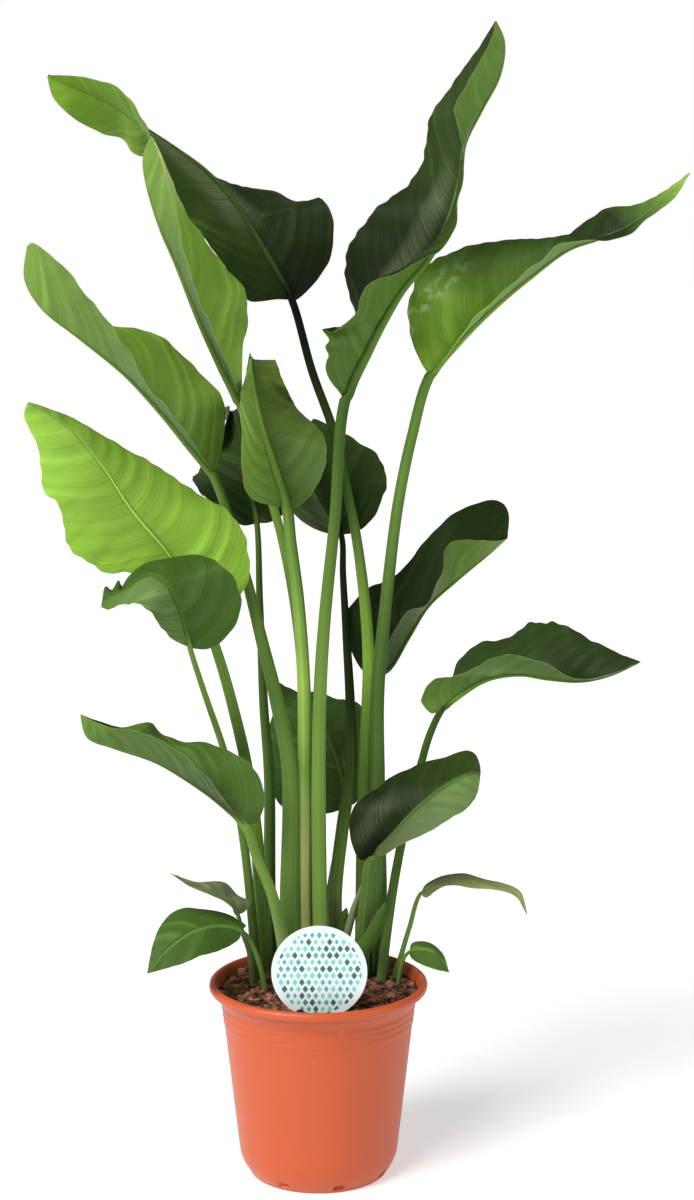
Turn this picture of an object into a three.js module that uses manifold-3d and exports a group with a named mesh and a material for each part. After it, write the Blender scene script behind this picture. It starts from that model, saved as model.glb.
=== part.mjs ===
// A giant white bird of paradise in a nursery pot: pot, soil, plant tag and nineteen leaves.
// Millimetres, +Z up, the pot's underside on z = 0 and its centre at the origin. The tag faces -Y.
import * as THREE from 'three';
import { mergeVertices } from 'three/addons/utils/BufferGeometryUtils.js';
import Module from 'manifold-3d';

const GAP = 0.35;
const HOLE_PLAY = 1.5;
const HOLE_HEIGHT = 60;
const HOLE_SIDES = 9;

const POT_HEIGHT = 217;
const POT_RIM_RADIUS = 120;
const POT_FOOT_RADIUS = 76;
const POT_FLOOR = 3.6;
const POT_WALL = 2.6;
const POT_SIDES = 36;
const WALL_LOW = { z: 15, radius: 86.3 };
const WALL_HIGH = { z: 182, radius: 105 };
const RIDGE_HEIGHT = 1.2;
const RIDGES = [174, 184];
const SLOT_COUNT = 8;
const SLOT_SIZE = [14, 11, 6];
const SLOT_TILT = THREE.MathUtils.degToRad(38);

const SOIL_BOTTOM = 4;
const SOIL_SIDES = 32;
const SOIL_EDGE = 205;
const SOIL_CROWN = 212;

const TAG_RADIUS = 51;
const TAG_THICKNESS = 1.2;
const TAG_CENTRE = [2, -88, 253];
const TAG_SPIKE_LENGTH = 40;
const TAG_SPIKE_WIDTH = 9;

const BLADE_THICKNESS = 1.2;
const BLADE_START = 0.012;
const BLADE_REACH = 0.973;
const STALK_SIDES = 6;
const RIB_REACH = 0.97;
const RIB_TIP_RADIUS = 0.9;
const CURVE_STEPS = 600;
const LARGE = { below: 8, beyond: 5, rows: 11 };
const SMALL = { below: 5, beyond: 3, rows: 6 };

const wasm = await Module();
wasm.setup();

// Each leaf is one growth: a stalk from the soil, a rib on to the tip, and two blade halves.
// stalk, rib: centre line, from under the soil to the blade and from there to the tip.
// right, left: margins from blade base to tip, seen with the upper face to the viewer and the tip up.
// foot, neck: stalk radius at the soil and at the blade. swell: how far each half bellies upwards.
const LEAVES = [
  {
    name: 'leaf_high_left',
    stalk: [
      [50, 50, 165], [50, 50, 215], [50, 55, 291], [51, 60, 427], [55, 60, 570], [43, 65, 689],
      [30, 75, 754], [16, 85, 814], [-7, 100, 877], [-29, 110, 954],
    ],
    rib: [
      [-46, 125, 984], [-67, 135, 1019], [-91, 135, 1057], [-122, 130, 1092], [-156, 115, 1118],
      [-181, 100, 1135], [-219, 65, 1162], [-252, 40, 1178], [-282, 20, 1191],
    ],
    right: [
      [-44, 100, 955], [-74, 85, 955], [-93, 85, 980], [-122, 85, 1019], [-153, 80, 1062],
      [-169, 55, 1104], [-177, 40, 1133], [-204, 25, 1174], [-239, 25, 1188],
    ],
    left: [
      [-23, 125, 954], [-1, 135, 970], [16, 120, 997], [16, 130, 1038], [0, 135, 1061],
      [-58, 195, 1074], [-109, 200, 1080], [-163, 175, 1119], [-188, 150, 1132], [-213, 120, 1128],
      [-247, 70, 1140], [-276, 30, 1163],
    ],
    foot: 9,
    neck: 4.3,
  },
  {
    name: 'leaf_bright_fold',
    stalk: [
      [-12, 35, 165], [-12, 35, 215], [-12, 35, 297], [-13, 35, 455], [-20, 50, 586], [-39, 65, 695],
      [-61, 65, 772], [-83, 35, 846],
    ],
    rib: [
      [-102, 25, 887], [-124, 10, 937], [-148, 0, 998], [-163, -10, 1034], [-176, -20, 1079],
      [-178, -30, 1105], [-169, -40, 1127],
    ],
    right: [
      [-82, 50, 862], [-80, 35, 904], [-76, 65, 936], [-78, 50, 966], [-98, 55, 991],
      [-135, 50, 1040], [-153, 20, 1084], [-165, -20, 1118],
    ],
    left: [
      [-85, 20, 860], [-99, -25, 905], [-120, -50, 957], [-138, -60, 1022], [-149, -60, 1072],
      [-162, -50, 1112],
    ],
    foot: 7.5,
    neck: 5,
  },
  {
    name: 'leaf_left_fold',
    stalk: [
      [-30, 5, 165], [-30, 5, 215], [-31, 0, 306], [-30, 0, 452], [-44, 0, 529], [-60, 5, 594],
      [-75, 15, 653], [-95, 20, 723], [-112, 10, 773],
    ],
    rib: [
      [-137, 0, 807], [-166, -10, 844], [-200, -30, 883], [-244, -50, 921], [-281, -70, 953],
      [-296, -80, 982], [-292, -90, 1016],
    ],
    right: [
      [-106, 25, 787], [-100, 30, 819], [-103, 25, 855], [-135, 25, 890], [-172, 20, 922],
      [-216, 15, 931], [-249, -25, 967], [-280, -65, 1005],
    ],
    left: [
      [-118, -5, 788], [-142, -50, 831], [-170, -80, 872], [-206, -100, 934], [-254, -120, 997],
      [-282, -110, 1019],
    ],
    foot: 8.5,
    neck: 5,
  },
  {
    name: 'leaf_centre_arch',
    stalk: [
      [-13, 10, 165], [-13, 10, 215], [-16, 10, 304], [-15, 5, 417], [-15, 5, 540], [-21, 5, 638],
      [-29, 10, 702], [-33, 20, 736],
    ],
    rib: [
      [-46, 25, 776], [-60, 35, 818], [-70, 50, 860], [-74, 90, 888], [-72, 135, 885],
      [-65, 190, 861],
    ],
    right: [
      [-53, 5, 741], [-71, -10, 751], [-80, -20, 780], [-78, -25, 813], [-82, -15, 845],
      [-78, 65, 876], [-75, 100, 896], [-75, 150, 884],
    ],
    left: [
      [-21, 10, 739], [-6, 0, 754], [8, 10, 782], [8, 20, 809], [-23, 80, 838], [-35, 60, 863],
      [-46, 100, 887], [-52, 150, 881],
    ],
    foot: 7.6,
    neck: 6.2,
  },
  {
    name: 'leaf_back_left',
    stalk: [
      [-52, 60, 165], [-52, 60, 215], [-55, 60, 289], [-55, 65, 426], [-61, 70, 512], [-65, 80, 626],
      [-68, 90, 710],
    ],
    rib: [
      [-76, 105, 745], [-84, 125, 788], [-93, 160, 818], [-104, 200, 824], [-118, 250, 801],
    ],
    right: [
      [-83, 80, 709], [-105, 70, 725], [-129, 80, 745], [-140, 210, 759], [-108, 140, 804],
      [-102, 175, 831], [-112, 220, 822],
    ],
    left: [
      [-53, 85, 712], [-34, 105, 725], [-37, 130, 754], [-44, 160, 789], [-60, 180, 818],
      [-91, 215, 827],
    ],
    foot: 6.5,
    neck: 3.2,
  },
  {
    name: 'leaf_open_left',
    stalk: [
      [-62, 40, 165], [-62, 40, 215], [-64, 35, 296], [-69, 25, 379], [-79, 10, 460], [-90, -5, 517],
      [-102, -15, 567], [-118, -20, 617],
    ],
    rib: [
      [-135, -25, 654], [-158, -30, 693], [-194, -40, 739], [-224, -50, 788], [-250, -60, 823],
      [-275, -70, 844], [-296, -80, 858],
    ],
    right: [
      [-97, -20, 629], [-77, -20, 655], [-72, -15, 682], [-77, -10, 709], [-96, 0, 734],
      [-130, 5, 755], [-167, 0, 781], [-208, -15, 806], [-247, -40, 834], [-274, -60, 848],
    ],
    left: [
      [-137, -40, 622], [-165, -55, 648], [-191, -65, 678], [-219, -75, 679], [-239, -80, 694],
      [-253, -85, 702], [-264, -85, 747], [-280, -85, 767], [-287, -80, 813], [-300, -80, 843],
    ],
    foot: 7.2,
    neck: 5,
    swell: [0.05, 0.05],
  },
  {
    name: 'leaf_small_left',
    stalk: [
      [-69, 20, 165], [-69, 20, 215], [-75, 20, 301], [-82, 15, 370], [-92, 5, 435],
      [-103, -15, 484], [-119, -60, 550], [-131, -100, 605],
    ],
    rib: [
      [-139, -110, 641], [-152, -120, 675], [-170, -110, 686], [-196, -100, 671], [-221, -90, 653],
    ],
    right: [
      [-150, -120, 613], [-164, -140, 639], [-183, -140, 656], [-203, -115, 650],
    ],
    left: [
      [-112, -100, 604], [-90, -95, 617], [-77, -105, 645], [-78, -110, 667], [-97, -110, 691],
      [-125, -80, 698], [-163, -70, 691], [-196, -70, 679],
    ],
    foot: 5.5,
    neck: 2.7,
    small: true,
  },
  {
    name: 'leaf_tall_top',
    stalk: [
      [3, 5, 165], [3, 5, 215], [1, 5, 306], [0, 0, 441], [2, -5, 540], [7, -10, 619],
      [18, -15, 727], [29, -20, 855],
    ],
    rib: [
      [51, -25, 905], [72, -30, 945], [89, -30, 972], [112, -25, 998], [129, -25, 1026],
      [141, -30, 1057], [148, -30, 1087], [152, -35, 1119], [169, -40, 1153], [187, -45, 1187],
      [191, -50, 1220], [182, -50, 1242],
    ],
    right: [
      [22, -35, 866], [11, -50, 886], [10, -65, 915], [25, -75, 926], [41, -80, 944], [51, -85, 976],
      [81, -90, 990], [109, -90, 1001], [132, -85, 1018], [143, -80, 1040], [143, -80, 1066],
      [150, -75, 1092], [149, -80, 1116], [140, -70, 1150], [152, -65, 1178], [167, -60, 1202],
      [178, -60, 1225],
    ],
    left: [
      [32, -5, 875], [35, 15, 910], [39, 30, 944], [29, 15, 989], [38, 0, 1023], [64, -5, 1054],
      [102, 20, 1085], [113, 15, 1116], [119, 0, 1148], [142, -10, 1183], [166, -25, 1216],
      [177, -40, 1233],
    ],
    foot: 7.4,
    neck: 6.4,
  },
  {
    name: 'leaf_high_right',
    stalk: [
      [69, 45, 165], [69, 45, 215], [67, 45, 294], [65, 45, 430], [65, 40, 532], [74, 35, 633],
      [86, 20, 739], [101, 15, 815], [119, 10, 878],
    ],
    rib: [
      [148, 0, 915], [182, -5, 949], [222, -15, 983], [261, -30, 1012], [293, -35, 1023],
      [322, -45, 1036], [349, -55, 1058], [380, -70, 1090],
    ],
    right: [
      [130, -10, 888], [151, -40, 925], [183, -65, 962], [219, -75, 994], [250, -70, 1017],
      [279, -75, 1022], [311, -80, 1024], [336, -80, 1043], [363, -75, 1064],
    ],
    left: [
      [110, 15, 892], [98, 25, 924], [98, 15, 962], [113, 0, 992], [145, 25, 1008], [182, 30, 1019],
      [221, 30, 1019], [254, 20, 1019], [273, 10, 1032], [295, -5, 1051], [335, -25, 1058],
      [358, -45, 1071],
    ],
    foot: 9.4,
    neck: 5.6,
    swell: [0, 0.1],
  },
  {
    name: 'leaf_back_centre',
    stalk: [
      [22, 40, 165], [22, 40, 215], [18, 45, 294], [26, 50, 372], [35, 55, 439], [35, 60, 511],
      [31, 75, 582], [27, 90, 652], [25, 100, 696],
    ],
    rib: [
      [13, 105, 717], [-3, 120, 744], [-17, 150, 778], [-23, 190, 804], [-18, 240, 799],
      [-10, 285, 776],
    ],
    right: [
      [8, 85, 700], [-14, 75, 711], [-31, 70, 731], [-33, 75, 762], [-33, 160, 795], [-29, 205, 814],
      [-26, 255, 798],
    ],
    left: [
      [37, 90, 699], [52, 75, 709], [66, 75, 727], [75, 110, 758], [63, 150, 782], [35, 175, 796],
      [-2, 205, 815], [-9, 250, 805],
    ],
    foot: 6.2,
    neck: 3.2,
  },
  {
    name: 'leaf_right_curl',
    stalk: [
      [46, 70, 165], [46, 70, 215], [54, 75, 285], [53, 80, 423], [54, 80, 491], [59, 80, 538],
    ],
    rib: [
      [76, 80, 549], [98, 85, 583], [121, 90, 618], [151, 95, 644], [191, 110, 674], [211, 125, 689],
    ],
    right: [
      [72, 70, 547], [79, 50, 586], [96, 40, 619], [117, 30, 630], [132, 40, 656], [145, 70, 690],
      [176, 80, 693], [199, 100, 689],
    ],
    left: [
      [46, 90, 548], [33, 90, 577], [31, 90, 609], [55, 115, 634], [87, 145, 642], [107, 145, 666],
      [129, 135, 697], [161, 145, 719], [200, 160, 727], [212, 135, 717],
    ],
    foot: 6.6,
    neck: 4.4,
  },
  {
    name: 'leaf_right_spread',
    stalk: [
      [70, 20, 165], [70, 20, 215], [80, 30, 297], [90, 40, 353], [104, 45, 419], [111, 45, 442],
      [122, 35, 484], [136, 20, 517],
    ],
    rib: [
      [152, 10, 533], [182, 0, 553], [217, -10, 560], [246, -20, 557], [280, -30, 556],
      [310, -40, 564], [342, -50, 581],
    ],
    right: [
      [123, 10, 513], [111, 5, 528], [123, -10, 552], [143, -30, 562], [167, -45, 574],
      [193, -50, 586], [216, -50, 587], [241, -55, 580], [271, -65, 566], [310, -60, 570],
    ],
    left: [
      [142, 30, 529], [151, 45, 560], [166, 50, 576], [212, 45, 593], [230, 30, 608],
      [261, -10, 614], [295, -15, 597], [322, -25, 585],
    ],
    foot: 5.4,
    neck: 3.6,
  },
  {
    name: 'leaf_low_right',
    stalk: [
      [46, 20, 165], [46, 20, 215], [49, 15, 268], [53, 5, 311], [59, -10, 359],
    ],
    rib: [
      [82, -30, 390], [107, -35, 418], [135, -30, 442], [158, -10, 452], [173, 30, 447],
      [182, 75, 426],
    ],
    right: [
      [69, -25, 363], [90, -55, 384], [119, -70, 402], [147, -60, 417], [167, -30, 426],
      [177, 10, 432], [184, 50, 427],
    ],
    left: [
      [46, -10, 355], [35, -10, 380], [38, -10, 412], [70, 0, 438], [105, 10, 454], [141, 20, 463],
      [167, 40, 464], [179, 65, 446],
    ],
    foot: 8.5,
    neck: 5.5,
    swell: [0.06, 0.06],
  },
  {
    name: 'leaf_low_back',
    stalk: [
      [10, 75, 165], [10, 75, 215], [12, 85, 282], [21, 100, 337], [30, 110, 383],
    ],
    rib: [
      [27, 115, 416], [14, 130, 450], [-3, 155, 484], [-18, 195, 497], [-34, 245, 470],
    ],
    right: [
      [12, 100, 379], [-17, 105, 377], [-43, 105, 386], [-57, 115, 411], [-58, 175, 447],
      [-49, 185, 511], [-45, 220, 497],
    ],
    left: [
      [42, 100, 392], [53, 90, 425], [56, 165, 449], [46, 165, 491], [17, 195, 492], [-14, 230, 492],
    ],
    foot: 5.6,
    neck: 3.6,
  },
  {
    name: 'leaf_low_left',
    stalk: [
      [-33, -20, 165], [-33, -20, 215], [-40, -20, 274], [-50, -30, 323], [-65, -40, 365],
      [-77, -55, 404],
    ],
    rib: [
      [-104, -60, 432], [-138, -70, 459], [-170, -80, 480], [-213, -90, 497], [-238, -100, 510],
      [-245, -105, 536],
    ],
    right: [
      [-66, -45, 405], [-57, -50, 424], [-59, -50, 450], [-74, -50, 472], [-118, -35, 491],
      [-143, -25, 488], [-165, -35, 498], [-175, -50, 515], [-204, -60, 513], [-227, -100, 528],
    ],
    left: [
      [-86, -70, 421], [-111, -105, 464], [-139, -120, 498], [-170, -120, 517], [-203, -120, 523],
      [-229, -110, 529],
    ],
    foot: 5.2,
    neck: 3.4,
  },
  {
    name: 'sprout_left_thin',
    stalk: [
      [-72, 0, 165], [-72, 0, 210], [-76, -5, 251], [-83, 0, 270], [-88, -5, 292],
    ],
    rib: [
      [-94, -10, 306], [-113, -20, 320], [-136, -30, 333], [-159, -40, 348],
    ],
    right: [
      [-81, 0, 293], [-75, 10, 301], [-89, 20, 306], [-101, 10, 323], [-133, -10, 330],
    ],
    left: [
      [-89, -20, 300], [-105, -40, 319], [-131, -50, 333],
    ],
    foot: 3.6,
    neck: 2.2,
    small: true,
  },
  {
    name: 'sprout_left_broad',
    stalk: [
      [-58, -20, 165], [-58, -20, 210], [-64, -25, 244], [-74, -25, 269], [-84, -35, 283],
    ],
    rib: [
      [-103, -40, 290], [-131, -55, 289], [-160, -65, 271], [-182, -75, 247],
    ],
    right: [
      [-78, -25, 285], [-92, -10, 290], [-114, -10, 298], [-143, -20, 304], [-164, -35, 297],
      [-176, -55, 276],
    ],
    left: [
      [-84, -40, 276], [-103, -60, 269], [-123, -75, 267], [-146, -80, 259],
    ],
    foot: 3.6,
    neck: 2.2,
    small: true,
  },
  {
    name: 'sprout_right_thin',
    stalk: [
      [84, 30, 165], [84, 30, 210], [91, 30, 234], [101, 40, 265], [113, 30, 306],
    ],
    rib: [
      [134, 20, 322], [160, 10, 329], [187, -5, 326], [213, -15, 319], [227, -25, 297],
    ],
    right: [
      [118, 15, 305], [139, -5, 324], [171, -25, 327], [202, -30, 325], [221, -30, 312],
    ],
    left: [
      [119, 40, 313], [137, 45, 321], [161, 35, 327], [189, 20, 323], [220, -5, 318],
    ],
    foot: 3.4,
    neck: 2.2,
    small: true,
  },
  {
    name: 'sprout_right_small',
    stalk: [
      [88, 10, 165], [88, 10, 210], [94, 10, 238], [100, 10, 245],
    ],
    rib: [
      [111, 0, 252], [126, -10, 251], [143, -20, 231],
    ],
    right: [
      [102, 0, 241], [115, -15, 237], [130, -30, 237],
    ],
    left: [
      [103, 10, 255], [121, 15, 254], [135, 0, 248],
    ],
    foot: 3,
    neck: 2,
    small: true,
  },
];

const COLOURS = {
  pot: 0xc65a30,
  soil: 0x3a2418,
  plant_tag: 0xf2f4f1,
  leaf_high_left: 0x2f4422,
  leaf_bright_fold: 0x6f9a3c,
  leaf_left_fold: 0x4f8236,
  leaf_centre_arch: 0x456f2c,
  leaf_back_left: 0x1f3a18,
  leaf_open_left: 0x8fbf3a,
  leaf_small_left: 0x3f6f2a,
  leaf_tall_top: 0x2c4a20,
  leaf_high_right: 0x4f8a22,
  leaf_back_centre: 0x26361f,
  leaf_right_curl: 0x1f3f16,
  leaf_right_spread: 0x35592a,
  leaf_low_right: 0x356b22,
  leaf_low_back: 0x2a3c22,
  leaf_low_left: 0x416d2c,
  sprout_left_thin: 0x3d6a2c,
  sprout_left_broad: 0x4a7d2c,
  sprout_right_thin: 0x557a42,
  sprout_right_small: 0x4f8436,
};

const vector = ([x, y, z]) => new THREE.Vector3(x, y, z);

function solidFrom(vertices, triangles) {
  const geometry = new THREE.BufferGeometry();
  geometry.setAttribute('position', new THREE.Float32BufferAttribute(vertices, 3));
  geometry.setIndex(triangles);
  return solid(geometry);
}

function solid(geometry) {
  const bare = geometry.clone();
  bare.deleteAttribute('normal');
  bare.deleteAttribute('uv');
  const merged = mergeVertices(bare, 1e-4);
  return new wasm.Manifold(new wasm.Mesh({
    numProp: 3,
    vertProperties: new Float32Array(merged.attributes.position.array),
    triVerts: new Uint32Array(merged.index.array),
  }));
}

function mesh(name, body) {
  const raw = body.getMesh();
  const geometry = new THREE.BufferGeometry();
  geometry.setAttribute('position', new THREE.Float32BufferAttribute(raw.vertProperties, 3));
  geometry.setIndex(Array.from(raw.triVerts));
  geometry.computeVertexNormals();
  const material = new THREE.MeshStandardMaterial({ color: COLOURS[name], roughness: 0.6 });
  const part = new THREE.Mesh(geometry, material);
  part.name = name;
  return part;
}

// A closed round bar along a curve, with a radius for each station.
function bar(centres, radii, sides) {
  const vertices = [];
  const triangles = [];
  const last = centres.length - 1;
  let across = new THREE.Vector3(1, 0, 0);
  centres.forEach((centre, i) => {
    const ahead = centres[Math.min(i + 1, last)].clone().sub(centres[Math.max(i - 1, 0)]).normalize();
    across = across.clone().addScaledVector(ahead, -across.dot(ahead)).normalize();
    const up = new THREE.Vector3().crossVectors(ahead, across);
    for (let k = 0; k < sides; k += 1) {
      const turn = (k / sides) * Math.PI * 2;
      const point = centre.clone()
        .addScaledVector(across, Math.cos(turn) * radii[i])
        .addScaledVector(up, Math.sin(turn) * radii[i]);
      vertices.push(point.x, point.y, point.z);
    }
  });
  for (let i = 0; i < last; i += 1) {
    for (let k = 0; k < sides; k += 1) {
      const a = i * sides + k;
      const b = i * sides + ((k + 1) % sides);
      triangles.push(a, b, b + sides, a, b + sides, a + sides);
    }
  }
  for (let k = 1; k < sides - 1; k += 1) {
    triangles.push(0, k + 1, k);
    triangles.push(last * sides, last * sides + k, last * sides + k + 1);
  }
  return solidFrom(vertices, triangles);
}

function smooth(points) {
  const curve = new THREE.CatmullRomCurve3(points.map(vector), false, 'centripetal');
  curve.arcLengthDivisions = CURVE_STEPS;
  return curve;
}

// The curve of stalk and rib, and the share of its length that lies below the blade.
function centreLine(leaf) {
  const points = [...leaf.stalk, ...leaf.rib];
  const curve = smooth(points);
  const lengths = curve.getLengths();
  const collarStep = Math.round((CURVE_STEPS * (leaf.stalk.length - 1)) / (points.length - 1));
  return { curve, collar: lengths[collarStep] / lengths[CURVE_STEPS] };
}

function stalkRadius(leaf, along) {
  return leaf.foot + (leaf.neck - leaf.foot) * along ** 0.8;
}

function stalk(leaf, line) {
  const centres = [];
  const radii = [];
  const { below, beyond } = leaf.small ? SMALL : LARGE;
  for (let i = 0; i <= below; i += 1) {
    centres.push(line.curve.getPointAt(line.collar * (i / below)));
    radii.push(stalkRadius(leaf, i / below));
  }
  for (let i = 1; i <= beyond; i += 1) {
    const along = i / beyond;
    centres.push(line.curve.getPointAt(line.collar + (1 - line.collar) * along * RIB_REACH));
    radii.push(leaf.neck * (1 - along) ** 1.3 * 0.8 + RIB_TIP_RADIUS);
  }
  return bar(centres, radii, STALK_SIDES);
}

// One half of a blade: a swollen strip between the rib and a margin, with a like grid on both faces.
function bladeHalf(leaf, line, margin, side, swell) {
  const { rows } = leaf.small ? SMALL : LARGE;
  const columns = 2;
  const base = leaf.stalk[leaf.stalk.length - 1];
  const tip = leaf.rib[leaf.rib.length - 1];
  const edge = smooth([base, ...margin, tip]);
  const surface = (u, v) => {
    const share = Math.min(1, line.collar + (1 - line.collar) * u);
    const inner = line.curve.getPointAt(share);
    const outer = edge.getPointAt(u);
    const ahead = line.curve.getTangentAt(share).addScaledVector(edge.getTangentAt(u), 0.6);
    const across = outer.clone().sub(inner);
    const up = new THREE.Vector3().crossVectors(across, ahead).normalize().multiplyScalar(side);
    const belly = swell * 4 * v * (1 - v) * across.length();
    return inner.addScaledVector(across, v).addScaledVector(up, belly);
  };
  const upper = [];
  const lower = [];
  for (let i = 0; i <= rows; i += 1) {
    const even = i / rows;
    const u = BLADE_START + BLADE_REACH * (0.75 * even + 0.125 * (1 - Math.cos(even * Math.PI)));
    for (let j = 0; j <= columns; j += 1) {
      const v = j / columns;
      const point = surface(u, v);
      const along = surface(u + 0.01, v).sub(surface(u - 0.01, v));
      const out = surface(u, Math.min(1, v + 0.05)).sub(surface(u, Math.max(0, v - 0.05)));
      const up = new THREE.Vector3().crossVectors(out, along).normalize().multiplyScalar(side);
      upper.push(point.clone().addScaledVector(up, BLADE_THICKNESS / 2));
      lower.push(point.addScaledVector(up, -BLADE_THICKNESS / 2));
    }
  }
  const vertices = [...upper, ...lower].flatMap((point) => point.toArray());
  const triangles = [];
  const width = columns + 1;
  const under = upper.length;
  const quad = (a, b, c, d) => {
    if (side > 0) triangles.push(a, b, c, a, c, d);
    else triangles.push(a, c, b, a, d, c);
  };
  for (let i = 0; i < rows; i += 1) {
    for (let j = 0; j < columns; j += 1) {
      const a = i * width + j;
      quad(a, a + 1, a + width + 1, a + width);
      quad(under + a, under + a + width, under + a + width + 1, under + a + 1);
    }
    const inner = i * width;
    const outer = inner + columns;
    quad(inner + width, under + inner + width, under + inner, inner);
    quad(outer, under + outer, under + outer + width, outer + width);
  }
  for (let j = 0; j < columns; j += 1) {
    const end = rows * width + j;
    quad(j + 1, j, under + j, under + j + 1);
    quad(end, end + 1, under + end + 1, under + end);
  }
  return solidFrom(vertices, triangles);
}

// Fills the closed pockets that a fold leaves beside its rib.
function withoutPockets(body) {
  const pieces = body.decompose();
  const pockets = pieces.filter((piece) => piece.volume() < 0);
  if (!pockets.length) return body;
  return pieces.reduce((best, piece) => (piece.volume() > best.volume() ? piece : best));
}

function leafBody(leaf) {
  const line = centreLine(leaf);
  const swell = leaf.swell ?? [0, 0];
  const whole = wasm.Manifold.union([
    stalk(leaf, line),
    bladeHalf(leaf, line, leaf.right, 1, swell[0]),
    bladeHalf(leaf, line, leaf.left, -1, swell[1]),
  ]);
  return withoutPockets(whole);
}

function turned(profile, sides) {
  const points = profile.map(([radius, z]) => new THREE.Vector2(radius, z));
  const geometry = new THREE.LatheGeometry(points, sides);
  geometry.rotateX(Math.PI / 2);
  return solid(geometry);
}

const wallSlope = (WALL_HIGH.radius - WALL_LOW.radius) / (WALL_HIGH.z - WALL_LOW.z);
const wallRadius = (z) => WALL_LOW.radius + wallSlope * (z - WALL_LOW.z);

function potBody() {
  const inside = (z) => wallRadius(z) - POT_WALL;
  const ridges = RIDGES.flatMap((z) => [
    [wallRadius(z), z],
    [wallRadius(z + 3) + RIDGE_HEIGHT, z + 3],
    [wallRadius(z + 6), z + 6],
  ]);
  let pot = turned([
    [0, 0],
    [POT_FOOT_RADIUS, 0],
    [POT_FOOT_RADIUS + 4, 3],
    [WALL_LOW.radius - 1, 9],
    [WALL_LOW.radius, WALL_LOW.z],
    ...ridges,
    [POT_RIM_RADIUS - 11, 197],
    [POT_RIM_RADIUS - 7, 203],
    [POT_RIM_RADIUS - 2, 207],
    [POT_RIM_RADIUS, 210],
    [POT_RIM_RADIUS, 214],
    [POT_RIM_RADIUS - 3, POT_HEIGHT],
    [POT_RIM_RADIUS - 7, POT_HEIGHT - 1],
    [POT_RIM_RADIUS - 10, 208],
    [POT_RIM_RADIUS - 13.8, 197],
    [inside(188), 188],
    [inside(WALL_LOW.z), WALL_LOW.z],
    [POT_FOOT_RADIUS + 4, POT_FLOOR],
    [0, POT_FLOOR],
  ], POT_SIDES);
  for (let i = 0; i < SLOT_COUNT; i += 1) {
    const turn = ((i + 0.36) / SLOT_COUNT) * Math.PI * 2;
    const slot = new THREE.BoxGeometry(...SLOT_SIZE);
    slot.rotateY(-SLOT_TILT);
    slot.translate(WALL_LOW.radius + 4, 0, 4);
    slot.rotateZ(turn);
    pot = pot.subtract(solid(slot));
  }
  return pot;
}

function soilBody(holes) {
  const inner = (z) => wallRadius(z) - POT_WALL - GAP;
  const filling = turned([
    [0, SOIL_BOTTOM],
    [POT_FOOT_RADIUS + 2, SOIL_BOTTOM],
    [inner(WALL_LOW.z) - 0.6, WALL_LOW.z + 0.5],
    [inner(190) - 0.5, 190],
    [POT_RIM_RADIUS - 12, SOIL_EDGE],
    [60, SOIL_CROWN - 2],
    [0, SOIL_CROWN],
  ], SOIL_SIDES);
  return holes.reduce((soil, hole) => soil.subtract(hole), filling);
}

function stalkHole(leaf) {
  const [x, y, z] = leaf.stalk[0];
  const radius = leaf.foot + HOLE_PLAY;
  const hole = new THREE.CylinderGeometry(radius, radius, HOLE_HEIGHT, HOLE_SIDES);
  hole.rotateX(Math.PI / 2);
  hole.translate(x, y, z - GAP + HOLE_HEIGHT / 2);
  return solid(hole);
}

function tagShape(extra) {
  const [x, y, z] = TAG_CENTRE;
  const thick = TAG_THICKNESS + 2 * extra;
  const disc = new THREE.CylinderGeometry(TAG_RADIUS + extra, TAG_RADIUS + extra, thick, 48);
  const half = TAG_SPIKE_WIDTH / 2 + extra;
  const shoulder = -TAG_RADIUS - TAG_SPIKE_LENGTH * 0.6;
  const outline = new THREE.Shape([
    new THREE.Vector2(-half, 0),
    new THREE.Vector2(-half, shoulder),
    new THREE.Vector2(0, -TAG_RADIUS - TAG_SPIKE_LENGTH - extra),
    new THREE.Vector2(half, shoulder),
    new THREE.Vector2(half, 0),
  ]);
  const spike = new THREE.ExtrudeGeometry(outline, { depth: thick, bevelEnabled: false });
  spike.translate(0, 0, -thick / 2);
  spike.rotateX(Math.PI / 2);
  return solid(disc).add(solid(spike)).translate([x, y, z]);
}

const assembly = new THREE.Group();
assembly.name = 'potted_bird_of_paradise';
assembly.add(mesh('pot', potBody()));
assembly.add(mesh('soil', soilBody([...LEAVES.map(stalkHole), tagShape(GAP)])));
assembly.add(mesh('plant_tag', tagShape(0)));
LEAVES.forEach((leaf) => assembly.add(mesh(leaf.name, leafBody(leaf))));

export default assembly;
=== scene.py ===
import math
from dataclasses import dataclass

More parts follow.
